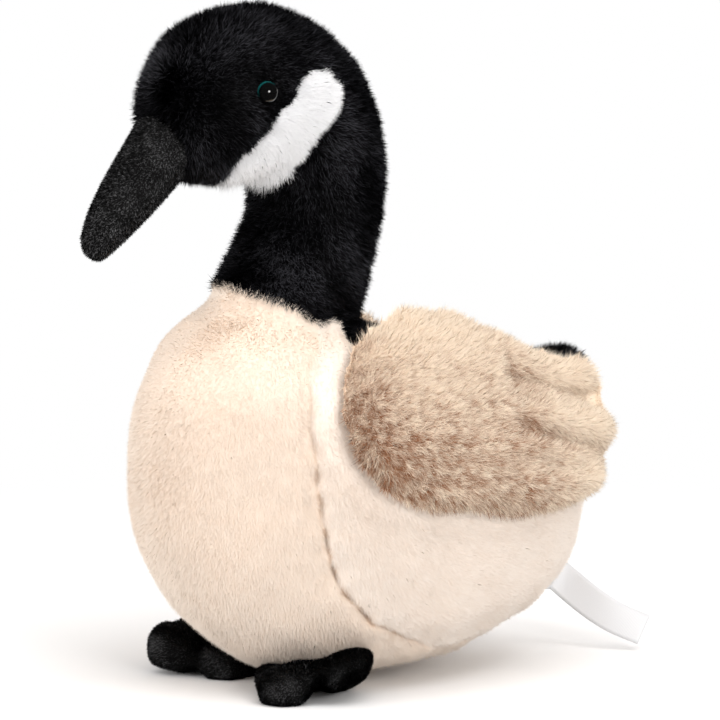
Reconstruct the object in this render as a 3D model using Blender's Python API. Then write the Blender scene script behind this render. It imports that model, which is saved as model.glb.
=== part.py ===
"""Plush goose, sewn from pile panels over fibre fillings.

It faces -Y, its left side is +X, and it rests on Z = 0. Side-view tables are in millimetres as
(forward, height, ...), where forward is -Y.
"""
import math

import bpy
from mathutils import Matrix, Vector

MM = 0.001
# Main sizes, in millimetres. The tables are drawn for the drawn sizes and follow the main ones in proportion.
WIDTH = 168.0
LENGTH = 272.0
HEIGHT = 294.0
DRAWN_WIDTH = 168.0
DRAWN_LENGTH = 272.0
DRAWN_HEIGHT = 294.0
GAP = 0.3  # clearance between neighbouring pieces
SEAM = GAP / 2  # each panel's share of a seam
CLOTH = 4.0  # pile and backing of the body and head covers
VELOUR = 1.8  # pile and backing of beak and feet
FAR = 150.0  # past every outline

# Body sections: forward, lowest, highest, half width. Below zero the belly is pressed flat on the ground.
BODY = [
    (-103, 50, 106, 26),
    (-95, 36, 120, 35.5),
    (-85, 25.5, 131, 43),
    (-70, 15, 140, 52),
    (-50, 6, 145.5, 60),
    (-28, -2, 149.5, 66.5),
    (-5, -6.5, 153.5, 69.5),
    (15, -6.5, 159.5, 70),
    (35, -2, 165, 68),
    (52, 6, 167, 63.5),
    (68, 16, 167, 56),
    (82, 28, 160.5, 47.5),
    (93, 42, 147, 37.5),
    (101, 54, 134.5, 27.5),
    (106.5, 67, 118, 16.5),
]
BREAST_TIP = (109.5, 92)
STERN_TIP = (-110.5, 76)
BODY_SIDES = 18
BODY_POWER = 2.4  # above 2 the sections are fuller than an ellipse

# Neck and head sections: back point, throat point, half width
NECK = [
    ((14, 134), (81, 156), 32),
    ((10, 151), (72.5, 174), 31),
    ((2, 172), (58.5, 189.5), 29.5),
    ((-6, 199), (50.5, 204), 29.5),
    ((-9, 222), (50, 213), 30.5),
    ((-4, 245.5), (54, 219), 32),
    ((6.5, 268.5), (60, 221.5), 33),
    ((26, 286), (68, 220), 34.5),
    ((49, 294), (76, 218.5), 34.5),
    ((71, 294), (84, 218), 33.5),
    ((89, 286), (91.5, 219.5), 30),
    ((100, 272), (98, 225), 24),
    ((104, 258), (102, 233), 15),
]
NECK_ROOT = (46, 137)
FACE_TIP = (105.5, 245)
NECK_SIDES = 16

# Beak sections: ridge point, under point, half width
BEAK = [
    ((89, 261), (85, 226), 18),
    ((102, 257), (93, 222.5), 19.5),
    ((114, 240.5), (102.3, 214), 18),
    ((126.2, 225), (113.5, 204), 15.5),
    ((135, 212.5), (123.5, 195.5), 12),
    ((140.5, 201), (132.5, 188.5), 7.5),
]
BEAK_ROOT = (84, 244)
BEAK_TIP = (139.5, 189.5)
BEAK_SIDES = 10
MOUTH = [(60, 256), (95, 231), (120, 206.5), (133, 193), (139.5, 189.2), (170, 172)]

# Tail sections: top point, under point, half width
TAIL = [
    ((-76, 119.5), (-81, 102), 20),
    ((-89, 125.5), (-94, 109), 21.5),
    ((-99.5, 129), (-103.5, 114), 20),
    ((-107.5, 131), (-111, 118), 16),
    ((-112.5, 131.3), (-115, 121.5), 10.5),
]
TAIL_ROOT = (-72, 108)
TAIL_TIP = (-117, 126)
TAIL_SIDES = 10
TAIL_EDGE = [(-50, 98), (-78.5, 110.7), (-91.5, 117.2), (-101.5, 121.5), (-109, 124.5), (-117, 126.1),
             (-140, 130)]
TAIL_PILE = 2.4

# Side-view lines of the seams
COLLAR = [(-60, 185), (-40, 175), (-10, 165), (5, 160), (20, 158.5), (42, 159.5), (54, 167), (66, 174),
          (90, 187)]
COLLAR_SPLIT = 5  # index of the collar point where the side seam starts
SIDE_SEAM = [(58, 142), (62, 120), (61, 95), (57, 68), (50, 46), (38, 28), (16, 14), (-20, 10), (-50, 13.5),
             (-75, 20), (-93, 27), (-112, 33)]
CHEEK = [(44, 268.5), (34, 268), (28, 260), (30, 251), (40, 240), (45, 229), (50, 223), (54.5, 211),
         (55, 203), (80, 204), (80, 219), (77, 230), (67, 242), (63, 250), (54, 257), (50, 265)]
# Half of the black back panel seen from above: forward, sideways
BACK_HALF = [(27, 0), (29, 22), (30, 43), (-2, 45), (-40, 42), (-70, 34), (-92, 20), (-104, 0)]
BACK_FLOOR = 85.0

# Eye: place on the head, way it looks (forward, sideways, up), and turned profile as (radius, height)
EYE_AT = (66.5, 261.5)
EYE_LOOKS = (0.34, 0.93, 0.14)
EYE_SINK = 2.4
EYE_RADIUS = 4.75
SHANK_RADIUS = 2.0
SHANK_LENGTH = 7.0
WASHER_RADIUS = 6.0
WASHER_TOP = -3.0
WASHER_THICK = 1.4
EYE_DOME = [(0.0, 1.0), (0.8, 1.0), (2.3, 0.91), (3.7, 0.68), (4.6, 0.36)]
EYE_HEIGHT = 4.9
SOCKET_TOP = 7.0
ROUND_SIDES = 11

# Wing outline in side view, from the front edge to the finger tips
WING_LOW = [(46, 100), (40, 91), (30, 85), (10, 80.5), (-18, 75.5), (-38, 73.5), (-64, 73), (-88, 76)]
WING_HIGH = [(41, 151), (27, 159.5), (14, 163), (1, 165), (-13, 163), (-30, 158), (-62, 141.5), (-96, 133)]
WING_FRONT = [(46, 100), (51, 112), (54, 124), (50, 139), (41, 151)]
WING_BACK = [(-88, 76), (-99, 80), (-102.5, 88), (-110, 99), (-105, 113.5), (-107, 123), (-96, 133)]
WING_BACK_AT = [0, 0.2, 0.38, 0.54, 0.7, 0.86, 1]
WING_U = [0, 0.1, 0.27, 0.45, 0.62, 0.78, 0.91, 1]
WING_V = [0, 0.12, 0.26, 0.38, 0.46, 0.54, 0.62, 0.7, 0.8, 0.91, 1]
FINGER_CREASES = (0.38, 0.7)
CREASE_START = 0.45
CREASE_DEPTH = 0.6
CREASE_WIDTH = 0.06
CREASE_RUN = 0.15  # share of the wing over which a crease deepens
WING_FILL = 9.0
LENS_POWER = 2.5  # above 2 the pad is fuller toward its edges
WING_PILE = 4.5
WING_EDGE_PILE = 2.2
WING_LINING = 1.4
WING_STAND_OFF = 1.4
WING_DROP = 8.0  # the right wing hangs this much lower than the left one
# Half width of the side that the wing follows. Behind the body it runs on straighter than the stern.
WING_PLAN = [(-115, 33), (-104, 37), (-85, 44.5), (-70, 52), (-50, 60), (-28, 66.5), (-5, 69.5), (15, 70),
             (35, 68), (52, 63.5), (68, 56.5)]
WING_STEADY = -60.0  # behind this the height of the section is held
WING_TANGENT = 0.66  # above this share of the half height the wing leaves the body on a tangent

# Feet: centre, plan outline in polar form (degrees from ahead toward the outside, reach), and domed profile
FOOT_AT = (46.0, 37.0)
FOOT_REACH = [(-65, 31), (-27, 25), (14, 35), (52, 25), (86, 34), (120, 26), (150, 22), (180, 21), (230, 21),
              (270, 25)]
FOOT_SIDES = 20
FOOT_RINGS = [(0.93, 0), (1.0, 4.5), (0.96, 10.5), (0.78, 15.4), (0.4, 18.3)]
FOOT_TOP = 19.0
FOOT_SEAM = 3.2

# Care ribbon: centre line as forward, sideways, height
RIBBON = [(-90, 0, 34), (-97, 0, 36), (-104, 0, 36.5), (-107, 0.6, 35.5), (-110, 4, 32), (-113, 10, 27),
          (-117, 17, 21.5), (-122, 24, 16.5), (-130, 33, 12)]
RIBBON_SLOT = [(-89.5, 0, 33.9), (-97, 0, 36), (-104, 0, 36.5)]
RIBBON_WIDTH = 17.0
RIBBON_THICK = 0.6
RIBBON_UP = (-0.5, 0, 0.86)
RIBBON_STRIPS = 1


def point(forward, side, height):
    drawn = (side / DRAWN_WIDTH, -forward / DRAWN_LENGTH, height / DRAWN_HEIGHT)
    return Vector((drawn[0] * WIDTH, drawn[1] * LENGTH, drawn[2] * HEIGHT)) * MM


def collection(name):
    made = bpy.data.collections.new(name)
    bpy.context.scene.collection.children.link(made)
    return made


def material(name, colour, roughness):
    made = bpy.data.materials.new(name)
    made.use_nodes = True
    shader = made.node_tree.nodes["Principled BSDF"]
    shader.inputs["Base Color"].default_value = (*colour, 1)
    shader.inputs["Roughness"].default_value = roughness
    made.diffuse_color = (*colour, 1)
    return made


def solid(name, corners, faces, home, skin=None):
    mesh = bpy.data.meshes.new(name)
    mesh.from_pydata([tuple(corner) for corner in corners], [], faces)
    if skin:
        mesh.materials.append(skin)
    made = bpy.data.objects.new(name, mesh)
    home.objects.link(made)
    if volume(mesh) < 0:
        mesh.flip_normals()
    return made


def volume(mesh):
    mesh.calc_loop_triangles()
    at = [vertex.co for vertex in mesh.vertices]
    return sum(at[t.vertices[0]].dot(at[t.vertices[1]].cross(at[t.vertices[2]])) for t in mesh.loop_triangles)


def loft(name, rings, start, end, home, skin=None):
    """Close a row of equal rings with a fan to a point at each end. Both halves are split alike."""
    count = len(rings[0])
    corners = [corner for ring in rings for corner in ring] + [start, end]
    first, last = len(corners) - 2, len(corners) - 1
    faces = []
    for row in range(len(rings) - 1):
        for i in range(count):
            j = (i + 1) % count
            a, b = row * count, (row + 1) * count
            if i < count // 2:
                faces += [(a + i, a + j, b + j), (a + i, b + j, b + i)]
            else:
                faces += [(a + i, a + j, b + i), (a + j, b + j, b + i)]
    top = (len(rings) - 1) * count
    for i in range(count):
        j = (i + 1) % count
        faces.append((first, j, i))
        faces.append((top + i, top + j, last))
    return solid(name, corners, faces, home, skin)


def full(value, power):
    return math.copysign(abs(value) ** (2 / power), value)


def body_ring(section):
    forward, low, high, wide = section
    ring = []
    for i in range(BODY_SIDES):
        turn = 2 * math.pi * i / BODY_SIDES
        height = (low + high) / 2 + (high - low) / 2 * full(math.cos(turn), BODY_POWER)
        ring.append(point(forward, wide * full(math.sin(turn), BODY_POWER), max(height, 0.0)))
    return ring


def slanted_ring(section, sides):
    """A ring through its top and under points, for members bent in side view."""
    top, under, wide = section
    ring = []
    for i in range(sides):
        turn = 2 * math.pi * i / sides
        share = (1 - math.cos(turn)) / 2
        ring.append(
            point(
                top[0] + (under[0] - top[0]) * share,
                wide * math.sin(turn),
                top[1] + (under[1] - top[1]) * share,
            )
        )
    return ring


def bent_loft(name, table, sides, root, tip, home):
    rings = [slanted_ring(section, sides) for section in table]
    return loft(name, rings, point(root[0], 0, root[1]), point(tip[0], 0, tip[1]), home)


def twice_area(outline):
    return sum(a[0] * b[1] - b[0] * a[1] for a, b in zip(outline, outline[1:] + outline[:1]))


def inset_outline(outline, distance):
    """Move every side of a flat outline inward, or outward if the distance is negative."""
    if twice_area(outline) < 0:
        outline = outline[::-1]
    moved = []
    for i, here in enumerate(outline):
        before = Vector(here) - Vector(outline[i - 1])
        after = Vector(outline[(i + 1) % len(outline)]) - Vector(here)
        one = Vector((-before.y, before.x)).normalized()
        two = Vector((-after.y, after.x)).normalized()
        middle = (one + two).normalized()
        moved.append(Vector(here) + middle * distance / middle.dot(one))
    return moved


def side_prism(name, outline, inner, outer, inset, home, skin=None):
    """A side-view outline pushed across, from the inner to the outer sideways place."""
    flat = inset_outline(outline, inset)
    count = len(flat)
    corners = [point(p[0], inner, p[1]) for p in flat] + [point(p[0], outer, p[1]) for p in flat]
    return prism_faces(name, corners, count, home, skin)


def plan_prism(name, outline, low, high, inset, home, skin=None):
    """An outline seen from above, pushed upward."""
    flat = inset_outline(outline, inset)
    count = len(flat)
    corners = [point(p[0], p[1], low) for p in flat] + [point(p[0], p[1], high) for p in flat]
    return prism_faces(name, corners, count, home, skin)


def prism_faces(name, corners, count, home, skin):
    faces = [tuple(range(count))[::-1], tuple(range(count, 2 * count))]
    faces += [(i, (i + 1) % count, count + (i + 1) % count, count + i) for i in range(count)]
    return solid(name, corners, faces, home, skin)


def cut(target, operation, tool):
    modifier = target.modifiers.new(f"{operation.lower()} {tool.name}", "BOOLEAN")
    modifier.operation = operation
    modifier.solver = "EXACT"
    modifier.object = tool
    return target


def finished(source, name, home, mirror=False):
    """The evaluated shape of an object as a mesh of its own, mirrored left to right if asked."""
    bpy.context.view_layer.update()
    graph = bpy.context.evaluated_depsgraph_get()
    mesh = bpy.data.meshes.new_from_object(source.evaluated_get(graph))
    mesh.name = name
    if mirror:
        mesh.transform(Matrix.Scale(-1, 4, (1, 0, 0)))
        mesh.flip_normals()
    made = bpy.data.objects.new(name, mesh)
    home.objects.link(made)
    return made


def swollen(source, name, distance):
    """A copy with its surface moved outward by a distance, or inward if negative."""
    made = finished(source, name, TOOLS)
    modifier = made.modifiers.new("offset", "DISPLACE")
    modifier.direction = "NORMAL"
    modifier.mid_level = 0
    modifier.strength = distance * MM
    return made


def both_sides(left, name):
    """Give the left piece its right-hand twin."""
    finished(left, f"{name}_right", GOOSE, mirror=True)


def along(points, shares, at):
    """The place on a broken line at a share of its way."""
    for i in range(len(shares) - 1):
        if at <= shares[i + 1] or i == len(shares) - 2:
            way = (at - shares[i]) / (shares[i + 1] - shares[i])
            return Vector(points[i]).lerp(Vector(points[i + 1]), way)


def even_shares(points):
    lengths = [0.0]
    for a, b in zip(points, points[1:]):
        lengths.append(lengths[-1] + (Vector(b) - Vector(a)).length)
    return [length / lengths[-1] for length in lengths]


def wing_place(u, v):
    """Forward and height on the wing's outline patch: u from front to finger tips, v from low to high."""
    low = along(WING_LOW, even_shares(WING_LOW), u)
    high = along(WING_HIGH, even_shares(WING_HIGH), u)
    front = along(WING_FRONT, even_shares(WING_FRONT), v)
    back = along(WING_BACK, WING_BACK_AT, v)
    corners = (
        Vector(WING_LOW[0]) * (1 - u) * (1 - v)
        + Vector(WING_LOW[-1]) * u * (1 - v)
        + Vector(WING_HIGH[0]) * (1 - u) * v
        + Vector(WING_HIGH[-1]) * u * v
    )
    return low * (1 - v) + high * v + front * (1 - u) + back * u - corners


def between(table, forward, column):
    for one, two in zip(table, table[1:]):
        if forward <= two[0]:
            way = max(0.0, (forward - one[0]) / (two[0] - one[0]))
            return one[column] + (two[column] - one[column]) * way
    return table[-1][column]


def side_reach(share):
    """Half width at a share of the half height, run on along a tangent near the top."""
    if share <= WING_TANGENT:
        return (1 - abs(share) ** BODY_POWER) ** (1 / BODY_POWER)
    edge = (1 - WING_TANGENT**BODY_POWER) ** (1 / BODY_POWER)
    slope = -(WING_TANGENT ** (BODY_POWER - 1)) * edge ** (1 - BODY_POWER)
    return edge + slope * (share - WING_TANGENT)


def wing_side(forward, height):
    """Sideways place of the body's flank under the wing."""
    held = max(forward, WING_STEADY)
    low, high = between(BODY, held, 1), between(BODY, held, 2)
    share = (height - (low + high) / 2) / ((high - low) / 2)
    return between(WING_PLAN, forward, 1) * side_reach(share) + WING_STAND_OFF


def lens(share):
    return (1 - abs(2 * share - 1) ** LENS_POWER) ** (1 / LENS_POWER)


def wing_fill(u, v):
    """Thickness of the wing's filling, with the stitched creases between the fingers."""
    thick = WING_FILL * lens(u) * lens(v)
    if u > CREASE_START:
        way = min(1.0, (u - CREASE_START) / CREASE_RUN)
        for crease in FINGER_CREASES:
            near = max(0.0, 1 - abs(v - crease) / CREASE_WIDTH)
            thick *= 1 - CREASE_DEPTH * way * near
    return thick


def patch_solid(name, inner, outer, us, vs, drop, home, skin):
    """A closed pad between two sheets over the same grid of the wing, hung lower by the drop."""
    corners = []
    for depth in (inner, outer):
        for u in us:
            for v in vs:
                place = wing_place(u, v) - Vector((0, drop))
                corners.append(point(place.x, depth(u, v, place), place.y))
    rows, columns = len(us), len(vs)
    sheet = rows * columns
    faces = []
    for i in range(rows - 1):
        for j in range(columns - 1):
            a = i * columns + j
            for half in ((a, a + 1, a + columns + 1), (a, a + columns + 1, a + columns)):
                faces += [half, tuple(sheet + k for k in reversed(half))]
    rim = [j for j in range(columns)]
    rim += [i * columns + columns - 1 for i in range(1, rows)]
    rim += [(rows - 1) * columns + j for j in range(columns - 2, -1, -1)]
    rim += [i * columns for i in range(rows - 2, 0, -1)]
    for a, b in zip(rim, rim[1:] + rim[:1]):
        faces.append((b, a, sheet + a, sheet + b))
    return solid(name, corners, faces, home, skin)


def turned(name, profile, bottom, top, place, skin, home, sides=ROUND_SIDES):
    """A round piece about the place's own axis, from (height, radius) pairs."""
    rings = []
    for height, radius in profile:
        ring = []
        for i in range(sides):
            turn = 2 * math.pi * i / sides
            ring.append(place @ (Vector((radius * math.cos(turn), radius * math.sin(turn), height)) * MM))
        rings.append(ring)
    start = place @ Vector((0, 0, bottom * MM))
    end = place @ Vector((0, 0, top * MM))
    return loft(name, rings, start, end, home, skin)


def foot_reach(angle):
    """Plan radius of the foot, rounded between the listed angles."""
    table = FOOT_REACH + [(FOOT_REACH[0][0] + 360, FOOT_REACH[0][1])]
    for one, two in zip(table, table[1:]):
        if one[0] <= angle <= two[0]:
            way = (angle - one[0]) / (two[0] - one[0])
            return one[1] + (two[1] - one[1]) * (1 - math.cos(math.pi * way)) / 2
    return table[0][1]


def foot_form(name, home):
    rings = []
    for share, height in FOOT_RINGS:
        ring = []
        for i in range(FOOT_SIDES):
            angle = FOOT_REACH[0][0] + 360 * i / FOOT_SIDES
            reach = foot_reach(angle) * share
            turn = math.radians(angle)
            forward = FOOT_AT[0] + reach * math.cos(turn)
            ring.append(point(forward, FOOT_AT[1] + reach * math.sin(turn), height))
        rings.append(ring)
    return loft(name, rings, point(*FOOT_AT, 0), point(*FOOT_AT, FOOT_TOP), home)


def stuffed_pair(form, names, line, cloth, skins, cutters, filling_name, filling_skin):
    """Split a form's cover into two panels along a side-view line, and fill it."""
    inner = swollen(form, f"{form.name} inside", -cloth)
    above = line + [(line[-1][0], FAR * 2), (line[0][0], FAR * 2)]
    below = line + [(line[-1][0], -FAR), (line[0][0], -FAR)]
    made = []
    for name, outline, skin in zip(names, (above, below), skins):
        panel = side_prism(name, outline, -FAR, FAR, SEAM, GOOSE, skin)
        cut(panel, "INTERSECT", form)
        cut(panel, "DIFFERENCE", inner)
        made.append(panel)
    filling = swollen(form, filling_name, -cloth - GAP)
    TOOLS.objects.unlink(filling)
    GOOSE.objects.link(filling)
    filling.data.materials.append(filling_skin)
    made.append(filling)
    for piece in made:
        for cutter in cutters:
            cut(piece, "DIFFERENCE", cutter)
    return made


def build():
    black = material("black pile", (0.012, 0.012, 0.014), 0.9)
    cream = material("cream pile", (0.86, 0.76, 0.64), 0.9)
    pale = material("pale cream pile", (0.9, 0.82, 0.73), 0.9)
    white = material("white pile", (0.9, 0.9, 0.92), 0.9)
    velour = material("black velour", (0.02, 0.02, 0.022), 0.8)
    frosted = material("frosted brown pile", (0.42, 0.27, 0.18), 0.9)
    lining = material("lining cloth", (0.8, 0.72, 0.62), 0.85)
    fibre = material("polyester fibre", (0.92, 0.92, 0.92), 1.0)
    glass = material("glossy eye", (0.01, 0.012, 0.012), 0.08)
    plastic = material("washer plastic", (0.85, 0.85, 0.83), 0.4)
    satin = material("white satin", (0.9, 0.9, 0.92), 0.35)

    rings = [body_ring(section) for section in BODY]
    stern = point(STERN_TIP[0], 0, STERN_TIP[1])
    breast_end = point(BREAST_TIP[0], 0, BREAST_TIP[1])
    body = loft("body form", rings, stern, breast_end, TOOLS)
    neck = bent_loft("neck form", NECK, NECK_SIDES, NECK_ROOT, FACE_TIP, TOOLS)

    def whole(name, distance):
        both = swollen(body, name, distance)
        return cut(both, "UNION", swollen(neck, f"{name} neck", distance))

    outer = whole("outer form", 0)
    inner = whole("inner form", -CLOTH)
    clear = whole("clear form", GAP)

    # Label slot in the rear centre seam
    slot = ribbon("label slot", RIBBON_THICK + 2 * GAP, RIBBON_WIDTH + 2 * GAP, RIBBON_SLOT, TOOLS, None)

    # Eye seat
    forward, side, up = EYE_LOOKS
    looks = Vector((side, -forward, up)).normalized()
    graph = bpy.context.evaluated_depsgraph_get()
    outside = point(EYE_AT[0], FAR, EYE_AT[1])
    hit, at, normal, face = neck.evaluated_get(graph).ray_cast(outside, Vector((-1, 0, 0)))
    seat = Matrix.Translation(at - looks * EYE_SINK * MM) @ looks.to_track_quat("Z", "Y").to_matrix().to_4x4()
    washer_low = WASHER_TOP - WASHER_THICK
    socket = turned(
        "eye socket",
        [
            (washer_low, SHANK_RADIUS + GAP),
            (-GAP, SHANK_RADIUS + GAP),
            (-GAP, EYE_RADIUS + GAP),
            (SOCKET_TOP, EYE_RADIUS + GAP),
        ],
        washer_low,
        SOCKET_TOP,
        seat,
        None,
        TOOLS,
    )
    pocket = turned(
        "washer pocket",
        [
            (-SHANK_LENGTH - GAP, SHANK_RADIUS + GAP),
            (washer_low - GAP, SHANK_RADIUS + GAP),
            (washer_low - GAP, WASHER_RADIUS + GAP),
            (0, WASHER_RADIUS + GAP),
        ],
        -SHANK_LENGTH - GAP,
        0,
        seat,
        None,
        TOOLS,
    )
    eye_profile = [(-SHANK_LENGTH, SHANK_RADIUS), (0, SHANK_RADIUS)]
    eye_profile += [(height, EYE_RADIUS * share) for height, share in EYE_DOME]
    eye = turned("eye_left", eye_profile, -SHANK_LENGTH, EYE_HEIGHT, seat, glass, GOOSE)
    washer = turned(
        "eye_washer_left",
        [(washer_low, WASHER_RADIUS), (WASHER_TOP, WASHER_RADIUS)],
        washer_low,
        WASHER_TOP,
        seat,
        plastic,
        GOOSE,
    )
    press = turned(
        "washer press",
        [(washer_low - GAP, WASHER_RADIUS + GAP), (WASHER_TOP + GAP, WASHER_RADIUS + GAP)],
        washer_low - GAP,
        WASHER_TOP + GAP,
        seat,
        None,
        TOOLS,
    )
    bore = turned(
        "washer bore",
        [(washer_low - GAP, SHANK_RADIUS + GAP), (WASHER_TOP + GAP, SHANK_RADIUS + GAP)],
        washer_low - GAP,
        WASHER_TOP + GAP,
        seat,
        None,
        TOOLS,
    )
    cut(washer, "DIFFERENCE", bore)
    both_sides(eye, "eye")
    both_sides(washer, "eye_washer")
    socket_right = finished(socket, "eye socket right", TOOLS, mirror=True)
    pocket_right = finished(pocket, "washer pocket right", TOOLS, mirror=True)

    # Body covers, each cut from the whole skin
    meet = COLLAR[COLLAR_SPLIT]
    front_line = COLLAR[COLLAR_SPLIT:]
    rear_line = COLLAR[: COLLAR_SPLIT + 1]
    front = [*front_line, (FAR, COLLAR[-1][1]), (FAR, -FAR), (SIDE_SEAM[-1][0], -FAR), *SIDE_SEAM[::-1]]
    breast = side_prism("breast_belly_panel", front, -FAR, FAR, SEAM, GOOSE, cream)
    cut(breast, "INTERSECT", outer)
    cut(breast, "DIFFERENCE", inner)
    cut(breast, "DIFFERENCE", slot)

    back_outline = BACK_HALF + [(p[0], -p[1]) for p in BACK_HALF[-2:0:-1]]
    back_clear = plan_prism("back panel clearance", back_outline, BACK_FLOOR, FAR * 2, -SEAM, TOOLS)
    rear = [*rear_line, *SIDE_SEAM, (-FAR, SIDE_SEAM[-1][1]), (-FAR, COLLAR[0][1])]
    side = side_prism("side_panel_left", rear, SEAM, FAR, SEAM, GOOSE, pale)
    cut(side, "INTERSECT", outer)
    cut(side, "DIFFERENCE", inner)
    cut(side, "DIFFERENCE", back_clear)
    cut(side, "DIFFERENCE", slot)
    both_sides(side, "side_panel")

    below_line = [*rear_line, (meet[0], -FAR), (-FAR, -FAR), (-FAR, COLLAR[0][1])]
    under_collar = side_prism("under the collar", below_line, -FAR, FAR, SEAM, TOOLS)
    back = plan_prism("back_panel", back_outline, BACK_FLOOR, FAR * 2, SEAM, GOOSE, black)
    cut(back, "INTERSECT", outer)
    cut(back, "INTERSECT", under_collar)
    cut(back, "DIFFERENCE", inner)

    # Head and neck covers with the white cheek bands
    over = [*COLLAR[::-1], (COLLAR[0][0], FAR * 2), (FAR, FAR * 2), (FAR, COLLAR[-1][1])]
    head = side_prism("neck_head_left", over, SEAM, FAR, SEAM, GOOSE, black)
    cheek_hole = side_prism("cheek opening", CHEEK, -GAP, FAR, -SEAM, TOOLS)
    cut(head, "INTERSECT", outer)
    cut(head, "DIFFERENCE", inner)
    cut(head, "DIFFERENCE", cheek_hole)
    cut(head, "DIFFERENCE", socket)
    cut(head, "DIFFERENCE", press)
    both_sides(head, "neck_head")
    cheek = side_prism("cheek_patch_left", CHEEK, SEAM, FAR, SEAM, GOOSE, white)
    cut(cheek, "INTERSECT", outer)
    cut(cheek, "DIFFERENCE", inner)
    both_sides(cheek, "cheek_patch")

    filling = whole("body_head_filling", -CLOTH - GAP)
    TOOLS.objects.unlink(filling)
    GOOSE.objects.link(filling)
    filling.data.materials.append(fibre)
    cut(filling, "INTERSECT", inner)
    for tool in (pocket, pocket_right, slot):
        cut(filling, "DIFFERENCE", tool)

    # Beak and tail
    beak = bent_loft("beak form", BEAK, BEAK_SIDES, BEAK_ROOT, BEAK_TIP, TOOLS)
    names = ("beak_upper", "beak_lower")
    stuffed_pair(beak, names, MOUTH, VELOUR, (velour, velour), [clear], "beak_filling", fibre)
    tail = bent_loft("tail form", TAIL, TAIL_SIDES, TAIL_ROOT, TAIL_TIP, TOOLS)
    names = ("tail_top", "tail_underside")
    stuffed_pair(tail, names, TAIL_EDGE, TAIL_PILE, (black, pale), [clear], "tail_filling", fibre)

    # Feet
    foot = foot_form("foot form", TOOLS)
    seam = [(-FAR, FOOT_SEAM), (FAR, FOOT_SEAM)]
    names = ("foot_top_left", "foot_sole_left")
    made = stuffed_pair(foot, names, seam, VELOUR, (velour, velour), [clear], "foot_filling_left", fibre)
    for piece, name in zip(made, ("foot_top", "foot_sole", "foot_filling")):
        both_sides(piece, name)

    # Wings
    def base(u, v, place):
        return wing_side(place.x, place.y)

    def lining_high(u, v, place):
        return base(u, v, place) + WING_LINING

    def fill_low(u, v, place):
        return lining_high(u, v, place) + GAP

    def top_low(u, v, place):
        return fill_low(u, v, place) + wing_fill(u, v) + GAP

    def fill_high(u, v, place):
        return top_low(u, v, place) - GAP

    def top_high(u, v, place):
        pile = WING_EDGE_PILE + (WING_PILE - WING_EDGE_PILE) * lens(u) * lens(v)
        return top_low(u, v, place) + pile

    pads = (
        ("wing_lining", base, lining_high, WING_U, WING_V, lining),
        ("wing_filling", fill_low, fill_high, WING_U[1:-1], WING_V[1:-1], fibre),
        ("wing_top", top_low, top_high, WING_U, WING_V, frosted),
    )
    for name, low, high, us, vs, skin in pads:
        patch_solid(f"{name}_left", low, high, us, vs, 0, GOOSE, skin)
        hung = patch_solid(f"{name} hung", low, high, us, vs, WING_DROP, TOOLS, skin)
        finished(hung, f"{name}_right", GOOSE, mirror=True)

    ribbon("care_ribbon", RIBBON_THICK, RIBBON_WIDTH, RIBBON, GOOSE, satin)


def ribbon(name, thick, width, line, home, skin):
    """A band along a line, its width across the line and close to the given upward way."""
    up = Vector((RIBBON_UP[1], -RIBBON_UP[0], RIBBON_UP[2]))
    places = [point(*p) for p in line]
    rows = []
    for i, here in enumerate(places):
        ahead = (places[min(i + 1, len(places) - 1)] - places[max(i - 1, 0)]).normalized()
        across = (up - ahead * up.dot(ahead)).normalized()
        rows.append((here, across, ahead.cross(across).normalized()))
    steps = [k / RIBBON_STRIPS - 0.5 for k in range(RIBBON_STRIPS + 1)]
    corners = []
    for level in (-0.5, 0.5):
        for here, across, face in rows:
            corners += [here + across * step * width * MM + face * level * thick * MM for step in steps]
    columns = len(steps)
    count = len(rows) * columns
    faces = []
    for i in range(len(rows) - 1):
        for j in range(columns - 1):
            a = i * columns + j
            quad = (a, a + 1, a + columns + 1, a + columns)
            faces += [quad, tuple(count + k for k in reversed(quad))]
    rim = list(range(columns)) + [i * columns + columns - 1 for i in range(1, len(rows))]
    rim += [(len(rows) - 1) * columns + j for j in range(columns - 2, -1, -1)]
    rim += [i * columns for i in range(len(rows) - 2, 0, -1)]
    faces += [(b, a, count + a, count + b) for a, b in zip(rim, rim[1:] + rim[:1])]
    return solid(name, corners, faces, home, skin)


for old in list(bpy.data.objects):
    bpy.data.objects.remove(old, do_unlink=True)
GOOSE = collection("plush_goose")
TOOLS = collection("construction")
build()
for tool in TOOLS.objects:
    tool.hide_render = True
    tool.display_type = "WIRE"
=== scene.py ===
import math

import bmesh
import bpy
import numpy as np
from bpy.props import FloatProperty, FloatVectorProperty, IntProperty, PointerProperty
from mathutils import Matrix, Vector
from mathutils.bvhtree import BVHTree


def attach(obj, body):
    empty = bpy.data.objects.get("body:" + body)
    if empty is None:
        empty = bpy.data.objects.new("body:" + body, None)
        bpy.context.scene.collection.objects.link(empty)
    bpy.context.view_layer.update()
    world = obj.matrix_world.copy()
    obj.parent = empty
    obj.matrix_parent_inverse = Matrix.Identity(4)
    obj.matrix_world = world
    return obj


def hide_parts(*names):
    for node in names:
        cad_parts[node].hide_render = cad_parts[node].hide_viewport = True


bl_info = {
    "name": "Plush Goose",
    "version": (1, 0, 0),
    "blender": (4, 5, 0),
    "location": "View3D > Sidebar > Plush Goose",
    "description": "Covers a plush goose with pile, eyes and a care ribbon, and lights it on a pale floor",
    "category": "Object",
}

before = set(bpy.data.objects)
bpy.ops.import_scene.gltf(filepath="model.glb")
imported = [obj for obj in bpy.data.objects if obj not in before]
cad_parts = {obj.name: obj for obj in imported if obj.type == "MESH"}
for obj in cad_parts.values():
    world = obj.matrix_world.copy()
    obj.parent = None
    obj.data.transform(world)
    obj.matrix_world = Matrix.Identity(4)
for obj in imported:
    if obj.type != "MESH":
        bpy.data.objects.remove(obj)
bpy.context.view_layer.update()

MM = 0.001
UV = "OFBake"
HANDS = ("left", "right")


# Sizes and colours that a user would change


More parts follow.
